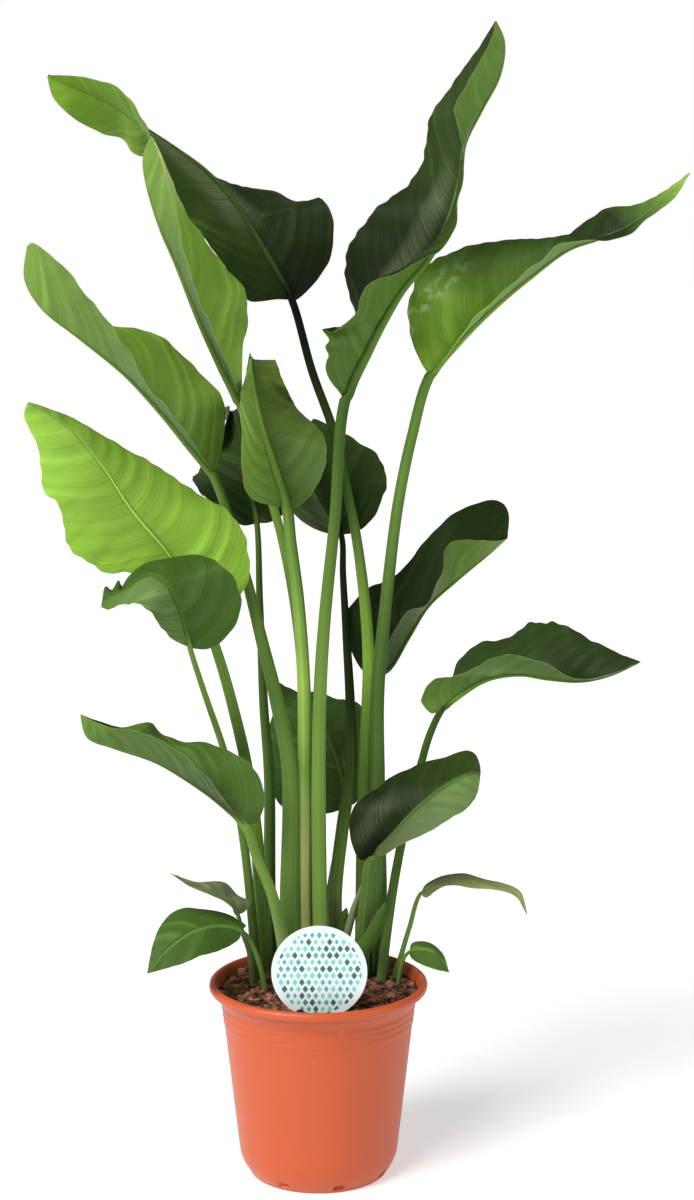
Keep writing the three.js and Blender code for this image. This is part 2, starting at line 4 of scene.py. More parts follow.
import bpy
import numpy as np
from bpy.props import FloatProperty, FloatVectorProperty, IntProperty, PointerProperty
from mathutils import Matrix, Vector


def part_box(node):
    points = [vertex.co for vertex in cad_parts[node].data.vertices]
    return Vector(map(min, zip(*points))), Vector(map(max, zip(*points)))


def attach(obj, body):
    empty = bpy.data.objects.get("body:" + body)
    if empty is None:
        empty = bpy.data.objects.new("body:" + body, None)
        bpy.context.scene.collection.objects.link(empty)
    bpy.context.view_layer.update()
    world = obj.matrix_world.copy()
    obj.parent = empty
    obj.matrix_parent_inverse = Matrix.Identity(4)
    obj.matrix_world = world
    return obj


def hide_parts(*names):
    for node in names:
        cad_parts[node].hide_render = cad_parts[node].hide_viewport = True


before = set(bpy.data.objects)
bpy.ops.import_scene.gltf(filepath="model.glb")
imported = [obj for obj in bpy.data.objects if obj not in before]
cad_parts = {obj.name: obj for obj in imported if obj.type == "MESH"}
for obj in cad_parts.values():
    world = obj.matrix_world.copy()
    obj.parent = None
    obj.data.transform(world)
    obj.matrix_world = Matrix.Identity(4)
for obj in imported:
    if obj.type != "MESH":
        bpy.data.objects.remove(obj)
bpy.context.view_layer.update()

bl_info = {
    "name": "Potted giant white bird of paradise",
    "version": (1, 0, 0),
    "blender": (4, 5, 0),
    "location": "3D View > Sidebar > Plant",
    "description": "Builds a potted bird of paradise: leaves, pot, soil, plant tag and studio",
    "category": "Object",
}

MM = 0.001
POT_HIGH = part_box("pot")[1]
SOIL_LOW, SOIL_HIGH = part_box("soil")
TAG_LOW, TAG_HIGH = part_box("plant_tag")

# The greens of the plant, in 0 to 255 display values.
# INK and NIGHT serve partly as painted shade on stalks and blades that lay in shadow, partly as the dark
# upper face of some blades.
INK = (8, 12, 5)
NIGHT = (18, 30, 6)
PINE = (30, 46, 15)
BOTTLE = (44, 62, 24)
HOLLY = (56, 82, 28)
IVY = (70, 96, 38)
FERN = (84, 114, 46)
MEADOW = (100, 130, 54)
GRASS = (112, 150, 44)
SPRING = (128, 168, 62)
LIME = (150, 186, 84)
BUTTER = (205, 220, 155)
SAGE = (112, 122, 84)
OLIVE = (150, 158, 92)


@dataclass
class Leaf:
    """One leaf, in millimetres from the middle of the pot's foot.

    stalk runs from the soil to the collar and rib from there to the tip. right and left are the
    margins from base to tip, seen on the upper face with the tip up. foot and neck are the stalk's
    radii and sheath is how much wider it is low down. swell says how far the right and the left half
    bulge, sweep how far the side veins lean towards the tip, ragged how deep the margin's nicks are
    and pucker how high the blade's bumps stand. upper, under and petiole are greens from base to tip
    at even distances, and turning says between which shares of its length the stalk's green
    changes. shade scales the tone of the left and right half above and the left and right
    half below. gleam is a shining band: its distance from the rib, half its width, the shares of the
    length where it starts and ends, and its strength, negative on the underside. small marks a
    sprout at the foot of the clump, and slot names a material slot of the part; it is not used.
    """

    name: str
    stalk: list
    rib: list
    right: list
    left: list
    foot: float
    neck: float
    upper: tuple
    under: tuple
    petiole: tuple
    swell: tuple = (0, 0)
    sheath: float = 0.2
    turning: tuple = (0.05, 0.75)
    pucker: float = 0.0
    sweep: float = 1.0
    ragged: float = 0.35
    # gleam paints a highlight: a pale band mixed into the blade's colour.
    gleam: tuple = ()
    # shade paints light and shade: it makes each half above and below lighter or darker as it caught the
    # light.
    shade: tuple = (1, 1, 1, 1)
    small: bool = False
    slot: str = "leaf_green"


LEAVES = [
    # Painted shade: the underside is dark where it lay in shadow, most on its left half, and the stalk fades
    # to near black at its top. The gleam is a painted highlight on the underside, and shade lightens the left
    # half above and darkens the right half above.
    Leaf(
        "leaf_high_left", foot=9, neck=4.3, turning=(0, 1), gleam=(4, 30, 0.2, 0.8, -0.38),
        shade=(1.1, 0.8, 0.37, 0.9), slot="leaf_dark",
        stalk=[(50, 50, 165), (50, 50, 215), (50, 55, 291), (51, 60, 427), (55, 60, 570), (43, 65, 689),
               (30, 75, 754), (16, 85, 814), (-7, 100, 877), (-29, 110, 954)],
        rib=[(-46, 125, 984), (-67, 135, 1019), (-91, 135, 1057), (-122, 130, 1092), (-156, 115, 1118),
             (-181, 100, 1135), (-219, 65, 1162), (-252, 40, 1178), (-282, 20, 1191)],
        right=[(-44, 100, 955), (-74, 85, 955), (-93, 85, 980), (-122, 85, 1019), (-153, 80, 1062),
               (-169, 55, 1104), (-177, 40, 1133), (-204, 25, 1174), (-239, 25, 1188)],
        left=[(-23, 125, 954), (-3, 140, 973), (12, 135, 997), (17, 125, 1023), (14, 130, 1049),
              (5, 135, 1062), (1, 135, 1065), (-13, 155, 1061), (-33, 185, 1062), (-57, 195, 1073),
              (-88, 200, 1073), (-109, 200, 1080), (-163, 175, 1119), (-184, 160, 1121), (-193, 150, 1110),
              (-204, 140, 1114), (-210, 130, 1126), (-227, 100, 1131), (-247, 70, 1140), (-263, 40, 1152),
              (-277, 30, 1168)],
        upper=(FERN, GRASS),
        under=(NIGHT, FERN),
        petiole=(FERN, FERN, MEADOW, SPRING, MEADOW, HOLLY, INK)),
    Leaf(
        "leaf_bright_fold", foot=7.5, neck=5, slot="leaf_bright",
        stalk=[(-12, 35, 165), (-12, 35, 215), (-12, 35, 297), (-13, 35, 455), (-20, 50, 586), (-39, 65, 695),
               (-61, 65, 772), (-83, 35, 846)],
        rib=[(-102, 25, 887), (-124, 10, 937), (-148, 0, 998), (-163, -10, 1034), (-176, -20, 1079),
             (-178, -30, 1105), (-169, -40, 1127)],
        right=[(-82, 50, 862), (-80, 35, 904), (-76, 65, 936), (-78, 50, 966), (-98, 55, 991),
               (-135, 50, 1040), (-153, 20, 1084), (-165, -20, 1118)],
        left=[(-85, 20, 860), (-99, -25, 905), (-120, -50, 957), (-138, -60, 1022), (-149, -60, 1072),
              (-162, -50, 1112)],
        upper=(LIME, SPRING, SPRING, BUTTER),
        under=(IVY, MEADOW),
        petiole=(FERN, MEADOW)),
    Leaf(
        "leaf_left_fold", foot=8.5, neck=5, sheath=0.5,
        stalk=[(-30, 5, 165), (-30, 5, 215), (-31, 0, 306), (-30, 0, 452), (-44, 0, 529), (-60, 5, 594),
               (-75, 15, 653), (-95, 20, 723), (-112, 10, 773)],
        rib=[(-137, 0, 807), (-166, -10, 844), (-200, -30, 883), (-244, -50, 921), (-281, -70, 953),
             (-296, -80, 982), (-292, -90, 1016)],
        right=[(-106, 25, 787), (-100, 30, 819), (-103, 25, 855), (-135, 25, 890), (-172, 20, 922),
               (-216, 15, 931), (-249, -25, 967), (-280, -65, 1005)],
        left=[(-118, -5, 788), (-142, -50, 831), (-170, -80, 872), (-206, -100, 934), (-254, -120, 997),
              (-282, -110, 1019)],
        upper=(MEADOW, GRASS),
        under=(IVY, MEADOW),
        petiole=(FERN, FERN)),
    # Painted light and shade: the underside's left half is darkened and its right half lightened.
    Leaf(
        "leaf_centre_arch", foot=7.6, neck=6.2, turning=(0, 1), sweep=0.8, shade=(1, 1, 0.5, 1.6),
        stalk=[(-13, 10, 165), (-13, 10, 215), (-16, 10, 304), (-15, 5, 417), (-15, 5, 540), (-21, 5, 638),
               (-29, 10, 702), (-33, 20, 736)],
        rib=[(-46, 25, 776), (-60, 35, 818), (-70, 50, 860), (-74, 90, 888), (-72, 135, 885),
             (-65, 190, 861)],
        right=[(-53, 5, 741), (-71, -10, 751), (-80, -20, 780), (-78, -25, 813), (-82, -15, 845),
               (-78, 65, 876), (-75, 100, 896), (-75, 150, 884)],
        left=[(-21, 10, 739), (-6, 0, 754), (8, 10, 782), (8, 20, 809), (-23, 80, 838), (-35, 60, 863),
              (-46, 100, 887), (-52, 150, 881)],
        upper=(HOLLY, FERN),
        under=(HOLLY, LIME),
        petiole=(OLIVE, OLIVE, MEADOW, LIME, FERN)),
    # Painted shade: this leaf at the back has dark greens, partly its own, partly the shadow it lay in.
    Leaf(
        "leaf_back_left", foot=6.5, neck=3.2, sheath=0.3, slot="leaf_dark",
        stalk=[(-52, 60, 165), (-52, 60, 215), (-55, 60, 289), (-55, 65, 426), (-61, 70, 512), (-65, 80, 626),
               (-68, 90, 710)],
        rib=[(-76, 105, 745), (-84, 125, 788), (-93, 160, 818), (-104, 200, 824), (-118, 250, 801)],
        right=[(-83, 80, 709), (-105, 70, 725), (-129, 80, 745), (-140, 210, 759), (-108, 140, 804),
               (-102, 175, 831), (-112, 220, 822)],
        left=[(-53, 85, 712), (-34, 105, 725), (-37, 130, 754), (-44, 160, 789), (-60, 180, 818),
              (-91, 215, 827)],
        upper=(BOTTLE, BOTTLE),
        under=(PINE, BOTTLE),
        petiole=(IVY, IVY)),
    # Painted light and shade: the left half above is a little lighter and the right half above a little
    # darker.
    Leaf(
        "leaf_open_left", foot=7.2, neck=5, swell=(0.05, 0.05), turning=(0, 1), sweep=0.55, ragged=0.7,
        shade=(1.08, 0.87, 1, 1), slot="leaf_bright",
        stalk=[(-62, 40, 165), (-62, 40, 215), (-64, 35, 296), (-69, 25, 379), (-79, 10, 460), (-90, -5, 517),
               (-102, -15, 567), (-118, -20, 617)],
        rib=[(-135, -25, 654), (-158, -30, 693), (-194, -40, 739), (-224, -50, 788), (-250, -60, 823),
             (-275, -70, 844), (-296, -80, 858)],
        right=[(-97, -20, 629), (-77, -20, 655), (-72, -15, 682), (-77, -10, 709), (-96, 0, 734),
               (-130, 5, 755), (-167, 0, 781), (-208, -15, 806), (-247, -40, 834), (-274, -60, 848)],
        left=[(-137, -40, 622), (-165, -55, 648), (-191, -65, 678), (-219, -75, 679), (-239, -80, 694),
              (-253, -85, 702), (-264, -85, 747), (-280, -85, 767), (-287, -80, 813), (-300, -80, 843)],
        upper=(GRASS, SPRING),
        under=(SPRING, LIME),
        petiole=(MEADOW, MEADOW, GRASS, HOLLY, MEADOW)),
    # Painted light and shade: the gleam is a painted sheen band on the underside, and the underside's right
    # half is lightened and its left half darkened.
    Leaf(
        "leaf_small_left", foot=5.5, neck=2.7, sheath=0.15, sweep=0.7, ragged=0.8,
        gleam=(24, 28, -0.15, 0.95, -0.3), shade=(1, 1, 0.9, 1.6), small=True,
        stalk=[(-69, 20, 165), (-69, 20, 215), (-75, 20, 301), (-82, 15, 370), (-92, 5, 435),
               (-103, -15, 484), (-119, -60, 550), (-131, -100, 605)],
        rib=[(-139, -110, 641), (-152, -120, 675), (-170, -110, 684), (-196, -100, 667), (-214, -90, 656),
             (-223, -90, 646)],
        right=[(-149, -125, 620), (-160, -140, 637), (-170, -150, 654), (-186, -135, 657), (-203, -115, 652),
               (-215, -100, 645)],
        left=[(-112, -100, 604), (-90, -100, 619), (-78, -105, 650), (-81, -110, 673), (-95, -110, 692),
              (-116, -90, 700), (-156, -70, 695), (-176, -70, 689), (-191, -75, 679), (-198, -75, 672),
              (-203, -75, 665), (-206, -75, 673), (-213, -80, 662), (-219, -80, 667)],
        upper=(IVY, FERN),
        under=(HOLLY, HOLLY),
        petiole=(HOLLY, FERN, MEADOW)),
    # Painted light and shade: the near-black upper greens are partly the upper face's own, partly shade. The
    # gleam is a painted highlight band, the left half above is darkened, and the right half above and below
    # is lightened.
    Leaf(
        "leaf_tall_top", foot=7.4, neck=6.4, sheath=0.25, turning=(0, 1), ragged=0.7,
        gleam=(-20, 17, 0.15, 0.7, 0.2), shade=(0.76, 1.3, 1, 1.1),
        stalk=[(3, 5, 165), (3, 5, 215), (1, 5, 306), (0, 0, 441), (2, -5, 540), (7, -10, 619),
               (18, -15, 727), (29, -20, 855)],
        rib=[(51, -25, 905), (72, -30, 945), (89, -30, 972), (112, -25, 998), (129, -25, 1026),
             (141, -30, 1057), (148, -30, 1087), (152, -35, 1119), (169, -40, 1153), (187, -45, 1187),
             (191, -50, 1220), (182, -50, 1242)],
        right=[(23, -30, 864), (14, -45, 877), (9, -50, 891), (13, -60, 903), (9, -60, 912), (13, -65, 920),
               (7, -60, 931), (15, -70, 927), (25, -75, 935), (43, -80, 949), (51, -85, 976), (81, -90, 990),
               (109, -90, 1001), (132, -85, 1018), (143, -80, 1040), (143, -80, 1066), (150, -75, 1092),
               (149, -80, 1116), (140, -70, 1150), (152, -65, 1178), (167, -60, 1202), (178, -60, 1225)],
        left=[(32, -5, 875), (35, 15, 910), (39, 30, 944), (29, 15, 989), (38, 0, 1023), (64, -5, 1054),
              (102, 20, 1085), (113, 15, 1116), (119, 0, 1148), (142, -10, 1183), (166, -25, 1216),
              (177, -40, 1233)],
        upper=(NIGHT, NIGHT, BOTTLE, BOTTLE),
        under=(IVY, FERN),
        petiole=(MEADOW, MEADOW, MEADOW, HOLLY)),
    # Painted shade and highlights: the two darkest greens along the upper face mark where the twisted blade
    # lay in shadow, and the gleam paints glints on the bumps near the base.
    Leaf(
        "leaf_high_right", foot=9.4, neck=5.6, swell=(0, 0.1), sheath=0.12, turning=(0.5, 0.8), pucker=1.2,
        ragged=0.7, gleam=(-56, 17, -0.15, 0.42, 0.6), slot="leaf_bright",
        stalk=[(69, 45, 165), (69, 45, 215), (67, 45, 294), (65, 45, 430), (65, 40, 532), (74, 35, 633),
               (86, 20, 739), (101, 15, 815), (119, 10, 878)],
        rib=[(148, 0, 915), (182, -5, 949), (222, -15, 983), (261, -30, 1012), (293, -35, 1023),
             (322, -45, 1036), (349, -55, 1058), (380, -70, 1090)],
        right=[(130, -10, 888), (151, -40, 925), (183, -65, 962), (219, -75, 994), (250, -70, 1017),
               (279, -75, 1022), (311, -80, 1024), (336, -80, 1043), (363, -75, 1064)],
        left=[(110, 15, 892), (98, 25, 924), (98, 15, 962), (113, 0, 992), (145, 25, 1008), (182, 30, 1019),
              (221, 30, 1019), (254, 20, 1019), (273, 10, 1032), (295, -5, 1051), (335, -25, 1058),
              (358, -45, 1071)],
        upper=(GRASS, GRASS, SPRING, MEADOW, HOLLY, PINE, PINE, FERN, SPRING),
        under=(MEADOW, IVY),
        petiole=(IVY, FERN)),
    # Painted shade: the stalk darkens to near black towards its top where it lay in shadow, and the dark
    # greens of this back leaf are partly shade. The underside's left half is darkened, and its right half is
    # lightened and turned pale.
    Leaf(
        "leaf_back_centre", foot=6.2, neck=3.2, sheath=0.5, turning=(0, 1), shade=(1, 1, 0.8, 1.9),
        slot="leaf_dark",
        stalk=[(22, 40, 165), (22, 40, 215), (18, 45, 294), (26, 50, 372), (35, 55, 439), (35, 60, 511),
               (31, 75, 582), (27, 90, 652), (25, 100, 696)],
        rib=[(13, 105, 717), (-3, 120, 744), (-17, 150, 778), (-23, 190, 804), (-18, 240, 799),
             (-10, 285, 776)],
        right=[(8, 85, 700), (-14, 75, 711), (-31, 70, 731), (-33, 75, 762), (-33, 160, 795), (-29, 205, 814),
               (-26, 255, 798)],
        left=[(37, 90, 699), (52, 75, 709), (66, 75, 727), (75, 110, 758), (63, 150, 782), (35, 175, 796),
              (-2, 205, 815), (-9, 250, 805)],
        upper=(BOTTLE, HOLLY),
        under=(PINE, HOLLY),
        petiole=(SAGE, MEADOW, HOLLY, PINE, NIGHT)),
    Leaf(
        "leaf_right_curl", foot=6.6, neck=4.4, sheath=0.15, turning=(0.4, 1), slot="leaf_dark",
        stalk=[(46, 70, 165), (46, 70, 215), (54, 75, 285), (53, 80, 423), (54, 80, 491), (59, 80, 538)],
        rib=[(76, 80, 549), (98, 85, 583), (121, 90, 618), (151, 95, 644), (191, 110, 674), (211, 125, 689)],
        right=[(72, 70, 547), (79, 50, 586), (96, 40, 619), (117, 30, 630), (132, 40, 656), (145, 70, 690),
               (176, 80, 693), (199, 100, 689)],
        left=[(46, 90, 548), (33, 90, 577), (31, 90, 609), (55, 115, 634), (87, 145, 642), (107, 145, 666),
              (129, 135, 697), (161, 145, 719), (200, 160, 727), (212, 135, 717)],
        upper=(PINE, PINE),
        under=(PINE, MEADOW),
        petiole=(MEADOW, SPRING)),
    Leaf(
        "leaf_right_spread", foot=5.4, neck=3.6, ragged=0.9,
        stalk=[(70, 20, 165), (70, 20, 215), (80, 30, 297), (90, 40, 353), (104, 45, 419), (111, 45, 442),
               (122, 35, 484), (136, 20, 517)],
        rib=[(152, 10, 533), (182, 0, 553), (217, -10, 560), (246, -20, 557), (280, -30, 556),
             (310, -40, 564), (342, -50, 581)],
        right=[(123, 10, 513), (111, 5, 528), (123, -10, 552), (143, -30, 562), (167, -45, 574),
               (193, -50, 586), (216, -50, 587), (241, -55, 580), (271, -65, 566), (310, -60, 570)],
        left=[(142, 30, 529), (151, 45, 560), (166, 50, 576), (212, 45, 593), (230, 30, 608), (261, -10, 614),
              (295, -15, 597), (322, -25, 585)],
        upper=(BOTTLE, PINE),
        under=(FERN, HOLLY),
        petiole=(IVY, HOLLY)),
    # Painted light and shade: the left half above is darkened and the right half above is lightened and
    # turned pale and greyish. The near-black base green is partly the upper face's own, partly shade, and the
    # gleam is a painted highlight.
    Leaf(
        "leaf_low_right", foot=8.5, neck=5.5, swell=(0.06, 0.06), sheath=0.25, sweep=0.8,
        gleam=(-30, 16, 0.05, 0.5, 0.12), shade=(0.42, 1.9, 1, 1),
        stalk=[(46, 20, 165), (46, 20, 215), (49, 15, 268), (53, 5, 311), (59, -10, 359)],
        rib=[(82, -30, 390), (107, -35, 418), (135, -30, 440), (158, -10, 448), (169, 10, 446),
             (177, 20, 439)],
        right=[(69, -25, 363), (90, -55, 384), (119, -70, 402), (147, -60, 417), (164, -40, 424),
               (173, -10, 432)],
        left=[(46, -10, 355), (35, -10, 380), (38, -10, 412), (70, 0, 438), (105, 10, 454), (141, 20, 463),
              (163, 30, 467), (172, 30, 463), (177, 25, 451)],
        upper=(NIGHT, BOTTLE, FERN),
        under=(HOLLY, HOLLY),
        petiole=(PINE, IVY)),
    Leaf(
        "leaf_low_back", foot=5.6, neck=3.6, slot="leaf_dark",
        stalk=[(10, 75, 165), (10, 75, 215), (12, 85, 282), (21, 100, 337), (30, 110, 383)],
        rib=[(27, 115, 416), (14, 130, 450), (-3, 155, 484), (-18, 195, 497), (-34, 245, 470)],
        right=[(12, 100, 379), (-17, 105, 377), (-43, 105, 386), (-57, 115, 411), (-58, 175, 447),
               (-49, 185, 511), (-45, 220, 497)],
        left=[(42, 100, 392), (53, 90, 425), (56, 165, 449), (46, 165, 491), (17, 195, 492), (-14, 230, 492)],
        upper=(BOTTLE, BOTTLE),
        under=(BOTTLE, HOLLY),
        petiole=(BOTTLE, BOTTLE)),
    Leaf(
        "leaf_low_left", foot=5.2, neck=3.4, sheath=0.6,
        stalk=[(-33, -20, 165), (-33, -20, 215), (-40, -20, 274), (-50, -30, 323), (-65, -40, 365),
               (-77, -55, 404)],
        rib=[(-104, -60, 432), (-138, -70, 459), (-170, -80, 480), (-213, -90, 497), (-238, -100, 510),
             (-245, -105, 536)],
        right=[(-66, -45, 405), (-57, -50, 424), (-59, -50, 450), (-74, -50, 472), (-118, -35, 491),
               (-143, -25, 488), (-165, -35, 498), (-175, -50, 515), (-204, -60, 513), (-227, -100, 528)],
        left=[(-86, -70, 421), (-111, -105, 464), (-139, -120, 498), (-170, -120, 517), (-203, -120, 523),
              (-229, -110, 529)],
        upper=(IVY, IVY),
        under=(BOTTLE, FERN),
        petiole=(SAGE, MEADOW)),
    Leaf(
        "sprout_left_thin", foot=3.6, neck=2.2, small=True,
        stalk=[(-72, 0, 165), (-72, 0, 210), (-76, -5, 251), (-83, 0, 270), (-88, -5, 292)],
        rib=[(-94, -10, 306), (-113, -20, 320), (-136, -30, 333), (-159, -40, 348)],
        right=[(-81, 0, 293), (-75, 10, 301), (-89, 20, 306), (-101, 10, 323), (-133, -10, 330)],
        left=[(-89, -20, 300), (-105, -40, 319), (-131, -50, 333)],
        upper=(SAGE, SAGE),
        under=(SAGE, SAGE),
        petiole=(FERN, SAGE)),
    # Painted light and shade: the left half above is a little darker and the right half above a little
    # lighter.
    Leaf(
        "sprout_left_broad", foot=3.6, neck=2.2, shade=(0.9, 1.05, 1, 1), small=True,
        stalk=[(-58, -20, 165), (-58, -20, 210), (-64, -25, 244), (-74, -25, 269), (-84, -35, 283)],
        rib=[(-103, -40, 290), (-131, -55, 289), (-160, -65, 271), (-182, -75, 247)],
        right=[(-78, -25, 285), (-92, -10, 290), (-114, -10, 298), (-143, -20, 304), (-164, -35, 297),
               (-176, -55, 276)],
        left=[(-84, -40, 276), (-103, -60, 269), (-123, -75, 267), (-146, -80, 259)],
        upper=(HOLLY, HOLLY),
        under=(IVY, IVY),
        petiole=(FERN, FERN)),
    Leaf(
        "sprout_right_thin", foot=3.4, neck=2.2, small=True,
        stalk=[(84, 30, 165), (84, 30, 210), (91, 30, 234), (101, 40, 265), (113, 30, 306)],
        rib=[(134, 20, 322), (160, 10, 329), (187, -5, 326), (213, -15, 319), (227, -25, 297)],
        right=[(118, 15, 305), (139, -5, 324), (171, -25, 327), (202, -30, 325), (221, -30, 312)],
        left=[(119, 40, 313), (137, 45, 321), (161, 35, 327), (189, 20, 323), (220, -5, 318)],
        upper=(SAGE, OLIVE),
        under=(SAGE, SAGE),
        petiole=(FERN, MEADOW)),
    Leaf(
        "sprout_right_small", foot=3, neck=2, small=True,
        stalk=[(88, 10, 165), (88, 10, 210), (94, 10, 238), (100, 10, 245)],
        rib=[(111, 0, 252), (126, -10, 251), (143, -20, 231)],
        right=[(102, 0, 241), (115, -15, 237), (130, -30, 237)],
        left=[(103, 10, 255), (121, 15, 254), (135, 0, 248)],
        upper=(HOLLY, IVY),
        under=(FERN, FERN),
        petiole=(FERN, FERN)),
]

# How strongly leaves, stalks and sheaths mirror the light.
LEAF_SHINE = 0.08
# Stalks widen downwards from the top height over the run, in metres.
SHEATH_TOP, SHEATH_RUN = 0.7, 0.28
# How far along its margins, in metres, a blade's width is taken to turn the stalk's channel to it.
COLLAR_REACH = 0.06
STALK_SIDES, STALK_ROWS, RIB_ROWS = 18, 90, 60
# Lengths in metres of the waves and of the small nicks that run along a margin.
WAVE_PITCHES = (0.095, 0.052, 0.031)
NICK_PITCHES = (0.043, 0.026, 0.015)
# Distance from the margin over which a blade thins, and width of half a blade with full nicks.
THIN_EDGE, NICK_WIDTH = 0.012, 0.06


@dataclass
class Sheath:
    """A sheath at the foot of the clump: its route from soil to tip, width and tone."""

    route: list
    width: float
    tone: tuple


SHEATHS = [
    Sheath([(29, 24, 252), (38, 22, 287), (49, 20, 321)], 9, SAGE),
    Sheath([(46, 2, 245), (60, 0, 270), (74, -2, 305)], 17, HOLLY),
    Sheath([(-34, 14, 268), (-36, 14, 297), (-38, 14, 329)], 9, BOTTLE),
    Sheath([(19, 30, 252), (25, 28, 271), (31, 24, 291)], 15, IVY),
]


def metres(name, description, default, lowest=0.0):
    """A length."""
    return FloatProperty(
        name=name, description=description, default=default, min=lowest, unit="LENGTH")


def number(name, description, default, lowest=0.0):
    """A plain number."""
    return FloatProperty(name=name, description=description, default=default, min=lowest)


def whole(name, description, default, lowest=0):
    """A count."""
    return IntProperty(name=name, description=description, default=default, min=lowest)


def tint(name, description, default):
    """A scene-linear colour."""
    return FloatVectorProperty(
        name=name, description=description, default=default, subtype="COLOR", size=3, min=0, max=1)


class PotSizes(bpy.types.PropertyGroup):
    """Sizes and colours of the pot."""

    height: metres("Height", "Floor to the top of the lip", POT_HIGH.z, 0.05)
    rim_radius: metres("Rim radius", "Outer radius of the rolled lip", POT_HIGH.x, 0.02)
    wall_low: metres("Lower wall radius", "Outer radius just above the foot", 0.0863, 0.02)
    wall_high: metres("Upper wall radius", "Outer radius below the flare", 0.105, 0.02)
    foot_radius: metres("Foot radius", "Radius of the ring that the pot stands on", 0.076, 0.02)
    wall: metres("Wall", "Thickness of the moulded wall", 0.0026, 0.0005)
    ridge: metres("Ridge", "How far each moulded ring stands proud", 0.0007)
    sides: whole("Sides", "Facets round the pot", 160, 24)
    slots: whole("Drain slots", "Notches round the foot", 8)
    colour: tint("Colour", "Moulded terracotta-coloured plastic", (0.42, 0.066, 0.016))
    worn: tint("Worn colour", "Paler clouds in the plastic", (0.47, 0.095, 0.032))
    scuff: tint("Scuff colour", "Rubbed spots", (0.66, 0.36, 0.25))
    dust: tint("Dust colour", "Dust at the foot", (0.4, 0.14, 0.08))


class SoilSizes(bpy.types.PropertyGroup):
    """Sizes and colours of the potting mix."""

    edge: metres("Edge height", "Height of the soil at the pot's wall", 0.2055)
    crown: metres("Crown height", "Height of the soil among the stalks", 0.2118)
    lump: metres("Lump height", "Unevenness of the surface", 0.0016)
    crumb: metres("Crumb size", "Mean radius of a crumb of peat", 0.0017, 0.0005)
    chip: metres("Chip size", "Mean radius of a chip of bark", 0.0042, 0.0005)
    crumb_density: number("Crumb density", "Crumbs on each square metre", 62000)
    chip_density: number("Chip density", "Bark chips on each square metre", 9000)
    dark: tint("Dark colour", "Wet peat", (0.014, 0.0055, 0.003))
    light: tint("Light colour", "Dry bark", (0.4, 0.165, 0.085))


class LeafSizes(bpy.types.PropertyGroup):
    """Sizes and colours shared by every leaf."""

    thickness: metres("Blade thickness", "Thickness beside the rib", 0.0009, 0.0002)
    margin: metres("Margin thickness", "Thickness along the margin", 0.0005, 0.0001)
    vein_pitch: metres("Vein pitch", "Distance between side veins", 0.0034, 0.001)
    pleat_pitch: metres("Pleat pitch", "Distance between broad pleats", 0.021, 0.004)
    pleat_height: metres("Pleat height", "Height of the broad pleats", 0.0006)
    wave_height: metres("Wave height", "Height of the waves along the margin", 0.0022)
    rows: whole("Rows", "Rows of faces along a large blade", 150, 12)
    columns: whole("Columns", "Columns of faces across half a large blade", 20, 4)
    rib_colour: tint("Rib colour", "Pale line of the rib", (0.2, 0.33, 0.1))
    # Greyish wax with painted sheen: mixed in as pale streaks, as painted highlight bands and on brightly lit
    # halves.
    wax_and_sheen_colour: tint("Bloom colour", "Greyish wax that lies in streaks", (0.2, 0.24, 0.13))
    glint_colour: tint("Glint colour", "Light on the tops of bumps", (0.52, 0.68, 0.36))
    margin_colour: tint("Margin colour", "Pale thin margin", (0.28, 0.36, 0.14))
    sheath_colour: tint("Sheath edge", "Pale edge of a sheath", (0.24, 0.3, 0.14))
    stain_colour: tint("Stain colour", "Soil on the foot of a stalk", (0.09, 0.06, 0.03))


class TagSizes(bpy.types.PropertyGroup):
    """Sizes and colours of the plant tag."""

    radius: metres("Radius", "Radius of the round card", (TAG_HIGH.x - TAG_LOW.x) / 2, 0.01)
    thickness: metres("Thickness", "Thickness of the card", 0.0012, 0.0003)
    spike_width: metres("Spike width", "Width of the spike", 0.009)
    pitch: metres("Pattern pitch", "Distance between printed diamonds", 0.0074, 0.001)
    white: tint("Card colour", "White card", (0.56, 0.62, 0.63))
    teal: tint("Teal", "First print colour", (0.05, 0.29, 0.29))
    mint: tint("Mint", "Second print colour", (0.16, 0.47, 0.38))
    dark: tint("Dark green", "Third print colour", (0.02, 0.1, 0.08))


class StageSizes(bpy.types.PropertyGroup):
    """Camera, floor and lights."""

    camera_place: FloatVectorProperty(
        name="Camera place", description="Where the camera stands",
        subtype="TRANSLATION", size=3, default=(0.0314, -2.6, 1.06))
    camera_pitch: FloatProperty(
        name="Camera pitch", description="How far the camera looks down",
        default=math.radians(9.2), subtype="ANGLE")
    lens: number("Focal length", "On a 36 mm long side", 73.74, 10)
    floor_size: metres("Floor size", "Length of each side of the floor", 60, 2)
    key_power: number("Key strength", "Strength of the broad light from the upper left", 2.9)
    box_power: number("Box power", "Power of the soft box on the left, in watts", 46)
    fill_power: number("Fill power", "Power of the soft box on the right, in watts", 20)
    sky: number("Room light", "Strength of the light from all round", 0.26)


